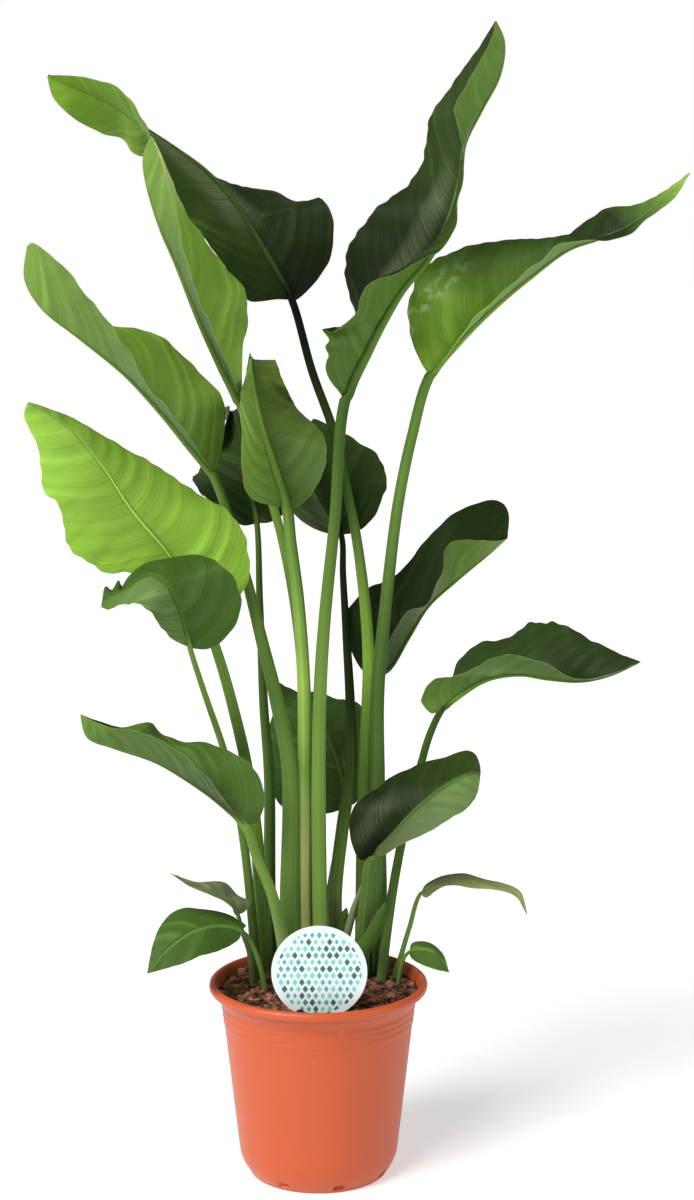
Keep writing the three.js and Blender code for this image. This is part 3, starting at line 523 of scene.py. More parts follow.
class Wire:
    """A socket of a node tree. Arithmetic on it adds Math nodes."""

    def __init__(self, tree, socket=None):
        self.tree = tree
        self.socket = socket

    def node(self, kind, settings=None, values=None, output=0):
        """Adds a node of a kind: its settings first, then values or wires for its sockets."""
        made = self.tree.nodes.new(kind)
        for name, value in (settings or {}).items():
            setattr(made, name, value)
        for name, value in (values or {}).items():
            if isinstance(value, Wire):
                self.tree.links.new(value.socket, made.inputs[name])
            else:
                made.inputs[name].default_value = value
        return Wire(self.tree, made.outputs[output])

    def _math(self, operation, *values):
        return self.node("ShaderNodeMath", {"operation": operation}, dict(enumerate(values)))

    def math(self, operation, *others):
        """A Math node whose first value is this one."""
        return self._math(operation, self, *others)

    def __add__(self, other):
        return self._math("ADD", self, other)

    __radd__ = __add__

    def __sub__(self, other):
        return self._math("SUBTRACT", self, other)

    def __rsub__(self, other):
        return self._math("SUBTRACT", other, self)

    def __mul__(self, other):
        return self._math("MULTIPLY", self, other)

    __rmul__ = __mul__

    def __truediv__(self, other):
        return self._math("DIVIDE", self, other)

    def __rtruediv__(self, other):
        return self._math("DIVIDE", other, self)

    def step(self, low, high):
        """0 below low, 1 above high and smooth between them."""
        values = {"Value": self, "From Min": low, "From Max": high}
        return self.node("ShaderNodeMapRange", {"interpolation_type": "SMOOTHSTEP"}, values)

    def mix(self, first, second):
        """A colour that goes from first to second as this value goes from 0 to 1."""
        a, b = (side if isinstance(side, Wire) else (*side, 1.0) for side in (first, second))
        return self.node("ShaderNodeMix", {"data_type": "RGBA"}, {0: self, 6: a, 7: b}, 2)

    def ramp(self, tones):
        """A colour that runs through evenly spaced tones as this value goes from 0 to 1."""
        made = self.node("ShaderNodeValToRGB", None, {"Fac": self})
        stops = made.socket.node.color_ramp.elements
        while len(stops) < len(tones):
            stops.new(1.0)
        for k, (stop, tone) in enumerate(zip(stops, tones)):
            stop.position = k / (len(tones) - 1)
            stop.color = (*linear(tone), 1.0)
        return made

    def scaled(self, factor):
        """A vector or colour multiplied by a number."""
        settings = {"operation": "SCALE"}
        return self.node("ShaderNodeVectorMath", settings, {0: self, "Scale": factor})

    def axis(self, letter):
        """One coordinate of this vector."""
        return self.node("ShaderNodeSeparateXYZ", None, {0: self}, letter)

    def noise(self, scale, detail, roughness):
        """Noise in space, at this place."""
        values = {"Vector": self, "Scale": scale, "Detail": detail, "Roughness": roughness}
        return self.node("ShaderNodeTexNoise", None, values)

    def streaks(self, detail=2.0):
        """Noise along this one number."""
        values = {"W": self, "Scale": 1.0, "Detail": detail}
        return self.node("ShaderNodeTexNoise", {"noise_dimensions": "1D"}, values)

    def attribute(self, name, output="Fac"):
        """What a mesh says of each of its points under a name."""
        return self.node("ShaderNodeAttribute", {"attribute_name": name}, None, output)


class Finish:
    """A material under way: a Principled shader whose varying sockets take wires."""

    def __init__(self, name, **constants):
        self.material = bpy.data.materials.new(name)
        self.material.use_nodes = True
        self.tree = self.material.node_tree
        self.tree.nodes.clear()
        self.wire = Wire(self.tree)
        self.shader = self.tree.nodes.new("ShaderNodeBsdfPrincipled")
        end = self.tree.nodes.new("ShaderNodeOutputMaterial")
        self.tree.links.new(self.shader.outputs[0], end.inputs["Surface"])
        for socket, value in constants.items():
            self.shader.inputs[socket.replace("_", " ")].default_value = value

    def place(self):
        """Object coordinates, in metres."""
        return self.wire.node("ShaderNodeTexCoord", None, None, "Object")

    def feed(self, colour, roughness, relief=None, distance=0.0, strength=1.0):
        """Feeds the shader and gives its material. Relief is in units of distance, in metres."""
        fed = {"Base Color": colour, "Roughness": roughness}
        if relief is not None:
            bump = {"Height": relief, "Distance": distance, "Strength": strength}
            fed["Normal"] = self.wire.node("ShaderNodeBump", None, bump)
        for socket, wire in fed.items():
            self.tree.links.new(wire.socket, self.shader.inputs[socket])
        return self.material


def linear(tone):
    """A display tone from 0 to 255 as scene-linear values."""
    shares = [value / 255 for value in tone]
    return tuple(s / 12.92 if s <= 0.04045 else ((s + 0.055) / 1.055) ** 2.4 for s in shares)


def blade_finish(leaf, sizes):
    """Waxy leaf: deep upper face, paler underside, fine side veins, pale rib and margin, with painted light,
    shade and sheen.
    """
    made = Finish("blade_" + leaf.name, Specular_IOR_Level=LEAF_SHINE)
    facts = ("vein", "along", "across", "edge", "face", "side")
    vein, along, across, edge, face, side = (made.wire.attribute(name) for name in facts)
    place = made.place()
    patches = place.noise(11.0, 3.0, 0.55)
    mottle = place.noise(140.0, 2.0, 0.5)
    fine = (vein / sizes.vein_pitch * 1.3).streaks()
    broad = (vein / sizes.pleat_pitch * 1.1 + 40.0).streaks(1.0)
    ridge = (vein / sizes.vein_pitch).math("PINGPONG", 0.5)
    line = (1.0 - ridge.step(0.02, 0.16)) * fine.step(0.3, 0.7)
    # Painted light and shade: each half of the blade, above and below, is lightened or darkened by the leaf's
    # shade factors.
    left, right, under_left, under_right = leaf.shade
    painted_light_below = under_left + (under_right - under_left) * side
    half = painted_light_below + (left + (right - left) * side - painted_light_below) * face
    shade = 0.46 + 0.38 * patches + 0.34 * fine + 0.32 * broad + 0.06 * mottle
    tone = face.mix(along.ramp(leaf.under), along.ramp(leaf.upper)).scaled(shade * half)
    # Painted light: a half lightened past 1.6 times also turns pale and greyish.
    tone = half.step(1.6, 2.5).mix(tone, sizes.wax_and_sheen_colour)
    bumps = place.noise(120.0, 1.0, 0.4)
    # Painted highlight: a pale band at a set distance from the rib, along part of the blade.
    if leaf.gleam:
        near, wide, first, last, amount = leaf.gleam
        away = (across * (2.0 * side - 1.0) - near * MM).math("ABSOLUTE")
        reach = along.step(first, first + 0.15) * (1.0 - along.step(last - 0.15, last))
        lit = face if amount > 0.0 else 1.0 - face
        gleam = (1.0 - away.step(wide * 0.2 * MM, wide * MM)) * reach * lit * abs(amount)
        # On a puckered blade the painted highlight falls as glints on the tops of the bumps.
        if leaf.pucker:
            tone = (gleam * bumps.step(0.44, 0.72)).mix(tone, sizes.glint_colour)
        else:
            tone = (gleam * (0.5 + 0.7 * fine.step(0.3, 0.7))).mix(tone, sizes.wax_and_sheen_colour)
    # Pale greyish streaks: waxy bloom, partly painted sheen.
    wax_and_sheen = broad.step(0.5, 0.8) * patches.step(0.35, 0.7)
    tone = (wax_and_sheen * 0.02).mix(tone.scaled(1.0 + 0.25 * wax_and_sheen), sizes.wax_and_sheen_colour)
    tone = (line * 0.05).mix(tone, sizes.rib_colour)
    rib = 1.0 - (across / (1.0 + 2.2 * (1.0 - along))).step(0.0006, 0.0016)
    tone = (rib * 0.26).mix(tone, sizes.rib_colour)
    lip = 1.0 - edge.step(0.0002, 0.0008)
    tone = (lip * 0.22).mix(tone, sizes.margin_colour)
    relief = 0.6 * fine + 0.9 * broad - 0.7 * rib * face
    if leaf.pucker:
        relief = relief + leaf.pucker * bumps
    return made.feed(tone, 0.36 + 0.16 * patches + 0.08 * fine, relief, 0.0009, 0.85)


def stalk_finish(leaf, sizes):
    """Smooth stalk with fine streaks along it, paler and ribbed towards the sheath."""
    made = Finish("stalk_" + leaf.name, Specular_IOR_Level=LEAF_SHINE)
    facts = ("along", "turn", "lift", "beyond")
    along, turn, lift, beyond = (made.wire.attribute(name) for name in facts)
    fine = (turn * 26.0 + 3.0).streaks()
    broad = (turn * 7.0 + 11.0).streaks(1.0)
    drift = (lift * 14.0).streaks()
    patches = made.place().noise(22.0, 3.0, 0.5)
    # The petiole greens include painted shade where a stalk lay in shadow, near black at the top of some
    # stalks.
    tone = along.step(*leaf.turning).ramp(leaf.petiole)
    tone = beyond.step(0.0, 0.12).mix(tone, beyond.ramp(leaf.under).scaled(1.4))
    sheath = (1.0 - lift.step(0.24, 0.5)) * fine.step(0.45, 0.7)
    tone = (sheath * 0.3).mix(tone, sizes.rib_colour)
    tone = tone.scaled(0.5 + 0.3 * fine + 0.34 * broad + 0.2 * drift + 0.14 * patches)
    soil_line = 1.0 - lift.step(0.2, 0.232)
    tone = (soil_line * 0.4).mix(tone, sizes.stain_colour)
    return made.feed(tone, 0.4 + 0.16 * patches, fine + 0.4 * patches, 0.0004, 0.6)


def sheath_finish(sizes):
    """Dull sheath: streaked along its length, with a pale thin edge."""
    made = Finish("sheath", Specular_IOR_Level=LEAF_SHINE)
    around = made.wire.attribute("around")
    fine = (around * 9.0 + 5.0).streaks()
    tone = made.wire.attribute("tone", "Color").scaled(0.6 + 0.8 * fine)
    pale = around.math("ABSOLUTE").step(0.86, 0.97)
    tone = (pale * 0.35).mix(tone, sizes.sheath_colour)
    return made.feed(tone, 0.5 + 0.2 * fine, fine, 0.0003, 0.6)


def pot_finish(sizes):
    """Satin moulded plastic with faint rings, dusty scuffs and a dusty foot."""
    made = Finish("pot_plastic", Specular_IOR_Level=0.32)
    place = made.place()
    height = place.axis("Z")
    rings = (height * 900.0).streaks()
    cloud = place.noise(14.0, 4.0, 0.55)
    grain = place.noise(900.0, 2.0, 0.5)
    scuff = place.noise(60.0, 6.0, 0.7).step(0.62, 0.72)
    tone = (0.15 + 0.25 * cloud).mix(sizes.colour, sizes.worn)
    tone = (scuff * 0.1).mix(tone, sizes.scuff)
    dust = (1.0 - height.step(0.0, 0.02)) * cloud
    tone = (dust * 0.35).mix(tone, sizes.dust)
    relief = 0.5 * rings + 0.5 * grain + 0.8 * scuff
    return made.feed(tone, 0.32 + 0.12 * cloud + 0.06 * rings, relief, 0.00012, 0.5)


def soil_finish(name, sizes, lightness):
    """Bark and peat: dark brown with paler, redder chips."""
    made = Finish(name, Specular_IOR_Level=0.25)
    place = made.place()
    lumps = place.noise(85.0, 3.0, 0.6)
    grain = place.noise(620.0, 3.0, 0.6)
    tone = (lumps.step(0.35, 0.72) * lightness).mix(sizes.dark, sizes.light)
    tone = tone.scaled(0.55 + 0.9 * grain)
    return made.feed(tone, 0.78 + 0.2 * grain, grain + lumps, 0.0006, 0.9)


def tag_finish(sizes, centre):
    """White card with rows of small printed diamonds in three greens."""
    made = Finish("tag_card", Specular_IOR_Level=0.5)
    place = made.place()
    x, y, z = (place.axis(letter) - middle for letter, middle in zip("XYZ", centre))
    row = (z / sizes.pitch).math("FLOOR")
    shifted = x / sizes.pitch + row * 0.5
    column = shifted.math("FLOOR")
    u = shifted - column - 0.5
    v = z / sizes.pitch - row - 0.5
    cell = made.wire.node("ShaderNodeCombineXYZ", None, {"X": column, "Y": row, "Z": 0.0})
    draw = made.wire.node("ShaderNodeTexWhiteNoise", {"noise_dimensions": "2D"}, {"Vector": cell})
    away = u.math("ABSOLUTE") * 1.35 + v.math("ABSOLUTE")
    size = 0.4 + 0.2 * draw
    diamond = 1.0 - (away - size).step(-0.03, 0.03)
    reach = (x * x + z * z).math("SQRT")
    printed = 1.0 - (reach - sizes.radius * 0.88).step(0.0, 0.0004)
    front = 1.0 - y.step(-0.0002, 0.0)
    ink = (draw * 2.6).math("FRACT").step(0.45, 0.5).mix(sizes.teal, sizes.mint)
    ink = draw.step(0.72, 0.74).mix(ink, sizes.dark)
    tone = (diamond * printed * front).mix(sizes.white, ink)
    fibre = place.noise(1500.0, 2.0, 0.5)
    return made.feed(tone, 0.34 + 0.08 * fibre, fibre, 0.00005, 0.4)


def floor_finish():
    """Matt pale studio floor."""
    made = Finish("studio_floor", Specular_IOR_Level=0.1, Emission_Strength=0.42,
                  Emission_Color=(1.0, 1.0, 1.0, 1.0))
    grain = made.place().noise(30.0, 3.0, 0.5)
    return made.feed((grain * 0.3).mix((0.74, 0.74, 0.74), (0.71, 0.71, 0.71)), 0.8 + 0.1 * grain)


def unit(vectors):
    """Vectors along the last axis at length 1."""
    return vectors / np.maximum(np.linalg.norm(vectors, axis=-1, keepdims=True), 1e-9)


def between(t, low, high, first, second):
    """The value at t on the line from first at low to second at high."""
    share = (t - low) / (high - low)
    return first * (1 - share) + second * share


def smooth_line(points, steps=48):
    """Centripetal Catmull-Rom curve: its samples, their arc lengths and each point's length."""
    points = np.array(points, float) * MM
    p = np.vstack([2 * points[0] - points[1], points, 2 * points[-1] - points[-2]])
    knots = np.concatenate([[0], np.cumsum(np.linalg.norm(np.diff(p, axis=0), axis=1) ** 0.5)])
    samples = [points[:1]]
    for i in range(1, len(p) - 2):
        t = np.linspace(knots[i], knots[i + 1], steps + 1)[1:, None]
        a1, a2, a3 = (
            between(t, knots[k], knots[k + 1], p[k], p[k + 1]) for k in (i - 1, i, i + 1))
        b1 = between(t, knots[i - 1], knots[i + 1], a1, a2)
        b2 = between(t, knots[i], knots[i + 2], a2, a3)
        samples.append(between(t, knots[i], knots[i + 1], b1, b2))
    line = np.vstack(samples)
    lengths = np.concatenate([[0], np.cumsum(np.linalg.norm(np.diff(line, axis=0), axis=1))])
    return line, lengths, lengths[::steps]


def at_length(line, lengths, wanted):
    """Points of a line at the wanted arc lengths."""
    return np.stack([np.interp(wanted, lengths, line[:, k]) for k in range(3)], -1)


def ahead_at(line, lengths, wanted, reach=0.002):
    """Directions of a line at the wanted arc lengths."""
    low = at_length(line, lengths, np.maximum(wanted - reach, 0))
    high = at_length(line, lengths, np.minimum(wanted + reach, lengths[-1]))
    return unit(high - low)


def margin_line(leaf, margin):
    """Samples and arc lengths of one margin, from the collar to the tip."""
    return smooth_line([leaf.stalk[-1], *margin, leaf.rib[-1]])[:2]


def grid_faces(grid):
    """Faces between neighbours in a grid of point numbers."""
    corners = grid[:-1, :-1], grid[:-1, 1:], grid[1:, 1:], grid[1:, :-1]
    return np.stack(corners, -1).reshape(-1, 4)


def grid_rim(grid):
    """The point numbers round the border of a grid, in order."""
    return np.concatenate([grid[0], grid[1:, -1], grid[-1, -2::-1], grid[-2:0:-1, 0]])


def ring_grid(rings, sides, first=0):
    """Point numbers of rings of points, each ring ended by its own first point."""
    grid = first + np.arange(rings * sides).reshape(rings, sides)
    return np.hstack([grid, grid[:, :1]])


def add_object(name, data):
    """A new object at the origin of the scene."""
    made = bpy.data.objects.new(name, data)
    bpy.context.scene.collection.objects.link(made)
    return made


def smooth_shading(data, sharp_angle):
    """Smooth faces with sharp edges past an angle in degrees."""
    data.shade_smooth()
    data.set_sharp_from_angle(angle=math.radians(sharp_angle))


def make_object(name, vertices, faces, materials, sharp_angle=50):
    """A smooth mesh object at the origin."""
    data = bpy.data.meshes.new(name)
    data.from_pydata(np.asarray(vertices).tolist(), [], faces)
    data.validate()
    for material in materials:
        data.materials.append(material)
    smooth_shading(data, sharp_angle)
    return add_object(name, data)


def points_of(data):
    """The points of a mesh as rows of three numbers."""
    points = np.empty(len(data.vertices) * 3)
    data.vertices.foreach_get("co", points)
    return points.reshape(-1, 3)


def face_outwards(data):
    """Flips the faces of closed bodies where their signed volume is negative."""
    data.calc_loop_triangles()
    corners = np.empty(len(data.loop_triangles) * 3, np.int32)
    data.loop_triangles.foreach_get("vertices", corners)
    a, b, c = points_of(data)[corners.reshape(-1, 3)].transpose(1, 0, 2)
    if np.einsum("ij,ij->", a, np.cross(b, c)) < 0:
        data.flip_normals()


def put_attribute(made, name, values):
    """Stores one number for each point under a name."""
    layer = made.data.attributes.new(name, "FLOAT", "POINT")
    layer.data.foreach_set("value", np.asarray(values, np.float32).ravel())


def seat(made, slot, *nodes):
    """Lets a finished piece ride on the part and stand for its CAD nodes."""
    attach(made, "root")
    if nodes:
        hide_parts(*nodes)


def blade_sheet(leaf, sizes, rows, columns, seed):
    """Middle surface of a blade from left margin to right margin, with what its finish reads."""
    line, lengths, marks = smooth_line(leaf.stalk + leaf.rib)
    collar = marks[len(leaf.stalk) - 1]
    blade = lengths[-1] - collar
    even = np.linspace(0, 1, rows + 1)
    u = 0.004 + 0.992 * (0.75 * even + 0.125 * (1 - np.cos(even * math.pi)))
    inner = at_length(line, lengths, collar + u * blade)
    ahead = ahead_at(line, lengths, collar + u * blade)
    v = np.linspace(0, 1, columns + 1)
    draw = np.random.default_rng(seed)
    wave = sum(
        draw.uniform(0.4, 1.0) * np.sin(2 * math.pi * (u * blade / pitch + draw.uniform()))
        for pitch in WAVE_PITCHES)
    nicks = sum(
        np.sin(2 * math.pi * (u * blade / pitch + draw.uniform()))
        for pitch in NICK_PITCHES)
    halves = []
    for side, margin, swell in ((-1, leaf.left, leaf.swell[1]), (1, leaf.right, leaf.swell[0])):
        edge, edge_lengths = margin_line(leaf, margin)
        outer = at_length(edge, edge_lengths, u * edge_lengths[-1])
        onward = ahead + 0.6 * ahead_at(edge, edge_lengths, u * edge_lengths[-1])
        across = outer - inner
        room = np.minimum(np.linalg.norm(across, axis=1) / NICK_WIDTH, 1)
        room = room * np.sin(math.pi * u) ** 0.5
        across = across - unit(across) * (leaf.ragged * MM * nicks * room)[:, None]
        width = np.linalg.norm(across, axis=1)[:, None]
        up = unit(np.cross(across, onward)) * side
        vein = (u * blade)[:, None] - leaf.sweep * (0.55 * v + 0.75 * v ** 2) * width
        pleat = np.sin(2 * math.pi * vein / sizes.pleat_pitch + side)
        lift = ((swell + 0.02) * width + sizes.pleat_height * pleat) * 4 * v * (1 - v)
        lift = lift + sizes.wave_height * 0.6 * (wave * room)[:, None] * v ** 2
        place = inner[:, None] + across[:, None] * v[:, None] + up[:, None] * lift[..., None]
        halves.append((place, {
            "vein": vein + 0.7 * (side > 0),
            "across": v * width,
            "edge": (1 - v) * width,
            "side": 0.5 + 0.5 * side * np.minimum(v * width / 0.004, 1),
            "along": np.repeat(u[:, None], columns + 1, 1),
        }))
        wave = np.roll(wave, rows // 5)
        nicks = np.roll(nicks, rows // 7)
    (left, left_facts), (right, right_facts) = halves
    place = np.concatenate([left[:, ::-1], right[:, 1:]], 1)
    return place, {
        key: np.concatenate([left_facts[key][:, ::-1], right_facts[key][:, 1:]], 1)
        for key in right_facts}


def blade_shell(place, facts, sizes):
    """Closes a sheet into a thin shell: its points, faces and attributes."""
    up = unit(np.cross(np.gradient(place, axis=1), np.gradient(place, axis=0)))
    rim = np.minimum(facts["edge"] / THIN_EDGE, 1.0)
    half = (sizes.margin + (sizes.thickness - sizes.margin) * rim)[..., None] / 2
    points = np.vstack([(place + up * half).reshape(-1, 3), (place - up * half).reshape(-1, 3)])
    grid = np.arange(rim.size).reshape(rim.shape)
    bottom = grid_faces(grid)[:, [0, 3, 2, 1]] + rim.size
    loop = grid_rim(grid)
    after = np.roll(loop, -1)
    rims = np.stack([after, loop, loop + rim.size, after + rim.size], -1)
    values = {key: np.tile(value.ravel(), 2) for key, value in facts.items()}
    values["face"] = np.repeat([1.0, 0.0], rim.size)
    return points, np.vstack([grid_faces(grid), bottom, rims]).tolist(), values


def stalk_tube(leaf):
    """Stalk and rib as one closed tube, channelled on its upper side and set below the blade."""
    line, lengths, marks = smooth_line(leaf.stalk + leaf.rib)
    start, collar = marks[0], marks[len(leaf.stalk) - 1]
    below = np.linspace(0, 1, STALK_ROWS + 1)
    beyond = np.linspace(0, 1, RIB_ROWS + 1)[1:]
    wanted = np.concatenate([
        start + (collar - start) * below,
        collar + (lengths[-1] - collar) * beyond * 0.985])
    centre = at_length(line, lengths, wanted)
    ahead = ahead_at(line, lengths, wanted)
    radius = np.concatenate([
        leaf.foot + (leaf.neck - leaf.foot) * below ** 0.8,
        leaf.neck * (1 - beyond) ** 1.2 * 0.8 + 0.45]) * MM
    left, right = (at_length(*margin_line(leaf, m), COLLAR_REACH) for m in (leaf.left, leaf.right))
    wide = unit(right - left)
    turn = np.linspace(0, 2 * math.pi, STALK_SIDES, endpoint=False)
    channel = 1 - 0.22 * np.clip(np.sin(turn), 0, 1) ** 3
    sheath = 1 + leaf.sheath * np.clip((SHEATH_TOP - centre[:, 2]) / SHEATH_RUN, 0, 1)
    points = []
    for i, middle in enumerate(centre):
        wide = wide - ahead[i] * (wide @ ahead[i])
        wide = wide / max(np.linalg.norm(wide), 1e-6)
        up = np.cross(wide, ahead[i])
        sunk = 0.5 if wanted[i] > collar else 0.0
        ring = wide * np.cos(turn)[:, None] + up * (np.sin(turn) * channel)[:, None]
        ring[:, 0] *= sheath[i]
        points.append(middle - up * radius[i] * sunk + ring * radius[i])
    count = len(centre)
    grid = ring_grid(count, STALK_SIDES)
    faces = grid_faces(grid).tolist() + [grid[0, -2::-1].tolist(), grid[-1, :-1].tolist()]
    return np.concatenate(points), faces, {
        "along": np.repeat((wanted - start) / (collar - start), STALK_SIDES).clip(0, 1),
        "turn": np.tile(np.abs(np.linspace(-1, 1, STALK_SIDES, endpoint=False)), count),
        "lift": np.repeat(centre[:, 2], STALK_SIDES),
        "beyond": np.repeat((wanted - collar) / (lengths[-1] - collar), STALK_SIDES).clip(0, 1),
    }


def make_leaf(leaf, sizes, seed):
    """One leaf as one object: its blade shell and its stalk."""
    finer = 2 if leaf.small else 1
    sheet = blade_sheet(leaf, sizes, sizes.rows // finer, sizes.columns // finer, seed)
    blade_points, blade_faces, blade_values = blade_shell(*sheet, sizes)
    tube_points, tube_faces, tube_values = stalk_tube(leaf)
    shift = len(blade_points)
    faces = blade_faces + [[k + shift for k in face] for face in tube_faces]
    made = make_object(
        leaf.name + "_grown", np.vstack([blade_points, tube_points]), faces,
        [blade_finish(leaf, sizes), stalk_finish(leaf, sizes)])
    made.data.polygons.foreach_set(
        "material_index", np.repeat(np.int32([0, 1]), [len(blade_faces), len(tube_faces)]))
    for key in ("vein", "across", "edge", "side", "along", "face", "turn", "lift", "beyond"):
        first = blade_values.get(key, np.zeros(shift))
        second = tube_values.get(key, np.zeros(len(tube_points)))
        put_attribute(made, key, np.concatenate([first, second]))
    seat(made, leaf.slot, leaf.name)


def make_sheaths(sizes):
    """Pointed sheaths between the stalks: shallow troughs that close to a tip."""
    rows, columns = 22, 10
    share = np.linspace(0, 1, rows + 1)
    bend = np.linspace(-1.25, 1.25, columns + 1)
    near = np.arange((rows + 1) * (columns + 1)).reshape(rows + 1, columns + 1)
    points, faces, tones = [], [], []
    for sheath in SHEATHS:
        line, lengths, _ = smooth_line(sheath.route)
        centre = at_length(line, lengths, lengths[-1] * share)
        ahead = ahead_at(line, lengths, lengths[-1] * share)
        half = ((sheath.width / 2 * (1 - share ** 2.4) ** 0.7 + 0.4) * MM)[:, None, None]
        wide = unit(np.cross(ahead, (0, 1, 0)))
        out = np.cross(wide, ahead)
        arch = wide[:, None] * np.sin(bend)[:, None] - out[:, None] * np.cos(bend)[:, None]
        for radius in (half, half - np.minimum(0.0007, half * 0.5)):
            points.append((centre[:, None] + arch * radius).reshape(-1, 3))
        far = near + near.size
        loop = grid_rim(near)
        after = np.roll(loop, -1)
        rims = np.stack([loop, loop + near.size, after + near.size, after], -1)
        faces += np.vstack([grid_faces(near), grid_faces(far[:, ::-1]), rims]).tolist()
        tones += [[*linear(sheath.tone), 1.0]] * (2 * near.size)
        near = far + near.size
    made = make_object("sheaths_grown", np.vstack(points), faces, [sheath_finish(sizes)])
    put_attribute(made, "around", np.tile(bend / bend[-1], 2 * (rows + 1) * len(SHEATHS)))
    colour = made.data.color_attributes.new("tone", "FLOAT_COLOR", "POINT")
    colour.data.foreach_set("color", np.ravel(tones))
    face_outwards(made.data)
    seat(made, "leaf_green")


def tree_with(name, **inputs):
    """A Geometry Nodes tree with a mesh in, a mesh out and named inputs of given kinds."""
    tree = bpy.data.node_groups.new(name, "GeometryNodeTree")
    for way in ("INPUT", "OUTPUT"):
        tree.interface.new_socket("Geometry", in_out=way, socket_type="NodeSocketGeometry")
    for label, kind in inputs.items():
        tree.interface.new_socket(label, in_out="INPUT", socket_type="NodeSocket" + kind)
    start = tree.nodes.new("NodeGroupInput")
    return tree, {socket.name: Wire(tree, socket) for socket in start.outputs if socket.name}


def end_tree(tree, shape, material):
    """Ends a tree with real geometry in its material."""
    real = shape.node("GeometryNodeRealizeInstances", None, {"Geometry": shape})
    painted = shape.node("GeometryNodeSetMaterial", None, {"Geometry": real, "Material": material})
    end = tree.nodes.new("NodeGroupOutput")
    tree.links.new(painted.socket, end.inputs["Geometry"])
    return tree


def grow(data, tree, values, name):
    """Runs a tree on a mesh and gives its result as a plain mesh object."""
    carrier = add_object(name + "_carrier", data)
    modifier = carrier.modifiers.new(name, "NODES")
    modifier.node_group = tree
    for item in tree.interface.items_tree:
        if item.name in values:
            modifier[item.identifier] = values[item.name]
    shown = carrier.evaluated_get(bpy.context.evaluated_depsgraph_get())
    made = add_object(name, bpy.data.meshes.new_from_object(shown))
    carrier.modifiers.remove(modifier)
    bpy.data.objects.remove(carrier)
    if not len(made.data.polygons):
        raise RuntimeError(name + " came out empty")
    return made


def turning_tree():
    """Geometry Nodes tree that turns a profile of points round the Z axis."""
    tree, wires = tree_with("turned_on_z", Sides="Int", Rows="Int", Material="Material")
    wire = Wire(tree)
    grid = wire.node("GeometryNodeMeshGrid", None, {
        "Size X": 1.0, "Size Y": 1.0, "Vertices X": wires["Sides"] + 1, "Vertices Y": wires["Rows"]})
    spot = wire.node("GeometryNodeInputPosition")
    row = ((spot.axis("Y") + 0.5) * (wires["Rows"] - 1)).math("ROUND")
    on_profile = wire.node(
        "GeometryNodeSampleIndex", {"data_type": "FLOAT_VECTOR", "domain": "POINT"},
        {"Geometry": wires["Geometry"], "Value": spot, "Index": row})
    place = wire.node("ShaderNodeVectorRotate", {"rotation_type": "AXIS_ANGLE"}, {
        "Vector": on_profile, "Axis": (0.0, 0.0, 1.0),
        "Angle": (spot.axis("X") + 0.5) * (2 * math.pi)})
    shaped = wire.node("GeometryNodeSetPosition", None, {"Geometry": grid, "Position": place})
    closed = wire.node("GeometryNodeMergeByDistance", None, {"Geometry": shaped, "Distance": 1e-6})
    return end_tree(tree, closed, wires["Material"])


def make_pot(sizes):
    """Nursery pot: foot ring, chamfer, tapered wall, faint rings, flare and rolled lip."""
    rim, top, foot, low = sizes.rim_radius, sizes.height, sizes.foot_radius, sizes.wall_low
    wall_start, wall_run = 0.015, 0.167

    def wall(z):
        return low + (sizes.wall_high - low) / wall_run * (z - wall_start)

    def ring(z):
        return [(wall(z - 0.0024), z - 0.0024), (wall(z) + sizes.ridge, z - 0.0008),
                (wall(z) + sizes.ridge, z + 0.0008), (wall(z + 0.0024), z + 0.0024)]

    profile = [
        (0, 0.002), (foot - 0.006, 0.002), (foot - 0.004, 0), (foot - 0.0006, 0), (foot, 0.0006),
        (foot + 0.001, 0.0028), (foot + 0.0026, 0.0052), (foot + 0.0048, 0.0082),
        (foot + 0.007, 0.012), (low - 0.0016, 0.0162), (wall(0.022) - 0.0003, 0.022)]
    profile += [(wall(z), z) for z in np.linspace(0.03, 0.165, 12)]
    profile += ring(0.1735) + ring(0.181) + ring(0.1885)
    profile += [
        (wall(0.193), 0.193), (rim - 0.0118, 0.1965), (rim - 0.009, 0.2), (rim - 0.0064, 0.2038),
        (rim - 0.0058, 0.206), (rim - 0.0034, 0.2072)]
    lip = 0.0042
    profile += [
        (rim - lip + lip * math.cos(a), top - lip - 0.0012 + lip * 1.25 * math.sin(a))
        for a in np.linspace(-1.1, 1.45, 9)]
    profile += [
        (rim - 0.0058, top - 0.0001), (rim - 0.0072, top - 0.0012), (rim - 0.0084, top - 0.004),
        (rim - 0.0105, 0.208), (rim - 0.0136, 0.1975), (wall(0.19) - sizes.wall, 0.19)]
    profile += [(wall(z) - sizes.wall, z) for z in np.linspace(0.17, 0.02, 6)]
    profile += [(foot + 0.002, 0.0042), (0, 0.0042)]
    data = bpy.data.meshes.new("pot_profile")
    data.from_pydata([(radius, 0, z) for radius, z in profile], [], [])
    values = {"Sides": sizes.sides, "Rows": len(profile), "Material": pot_finish(sizes)}
    made = grow(data, turning_tree(), values, "pot_moulded")
    face_outwards(made.data)
    cut_slots(made.data, foot, sizes.slots)
    smooth_shading(made.data, 38)
    seat(made, "pot", "pot")


def cut_slots(data, foot, slots, first=0.36, half_width=0.0058, depth=0.0036):
    """Presses shallow drain slots into the chamfer above the foot, evenly round the pot."""
    points = points_of(data)
    turn = np.arctan2(points[:, 1], points[:, 0]) / (2 * math.pi) * slots
    from_slot = np.abs((turn - first + 0.5) % 1 - 0.5) * 2 * math.pi * foot / max(slots, 1)
    radius = np.hypot(points[:, 0], points[:, 1])
    in_band = (radius > foot - 0.001) & (points[:, 2] > 0.003) & (points[:, 2] < 0.012)
    slot = in_band & (from_slot < half_width)
    points[slot, :2] *= (1 - depth / radius[slot])[:, None]
    data.vertices.foreach_set("co", points.ravel())


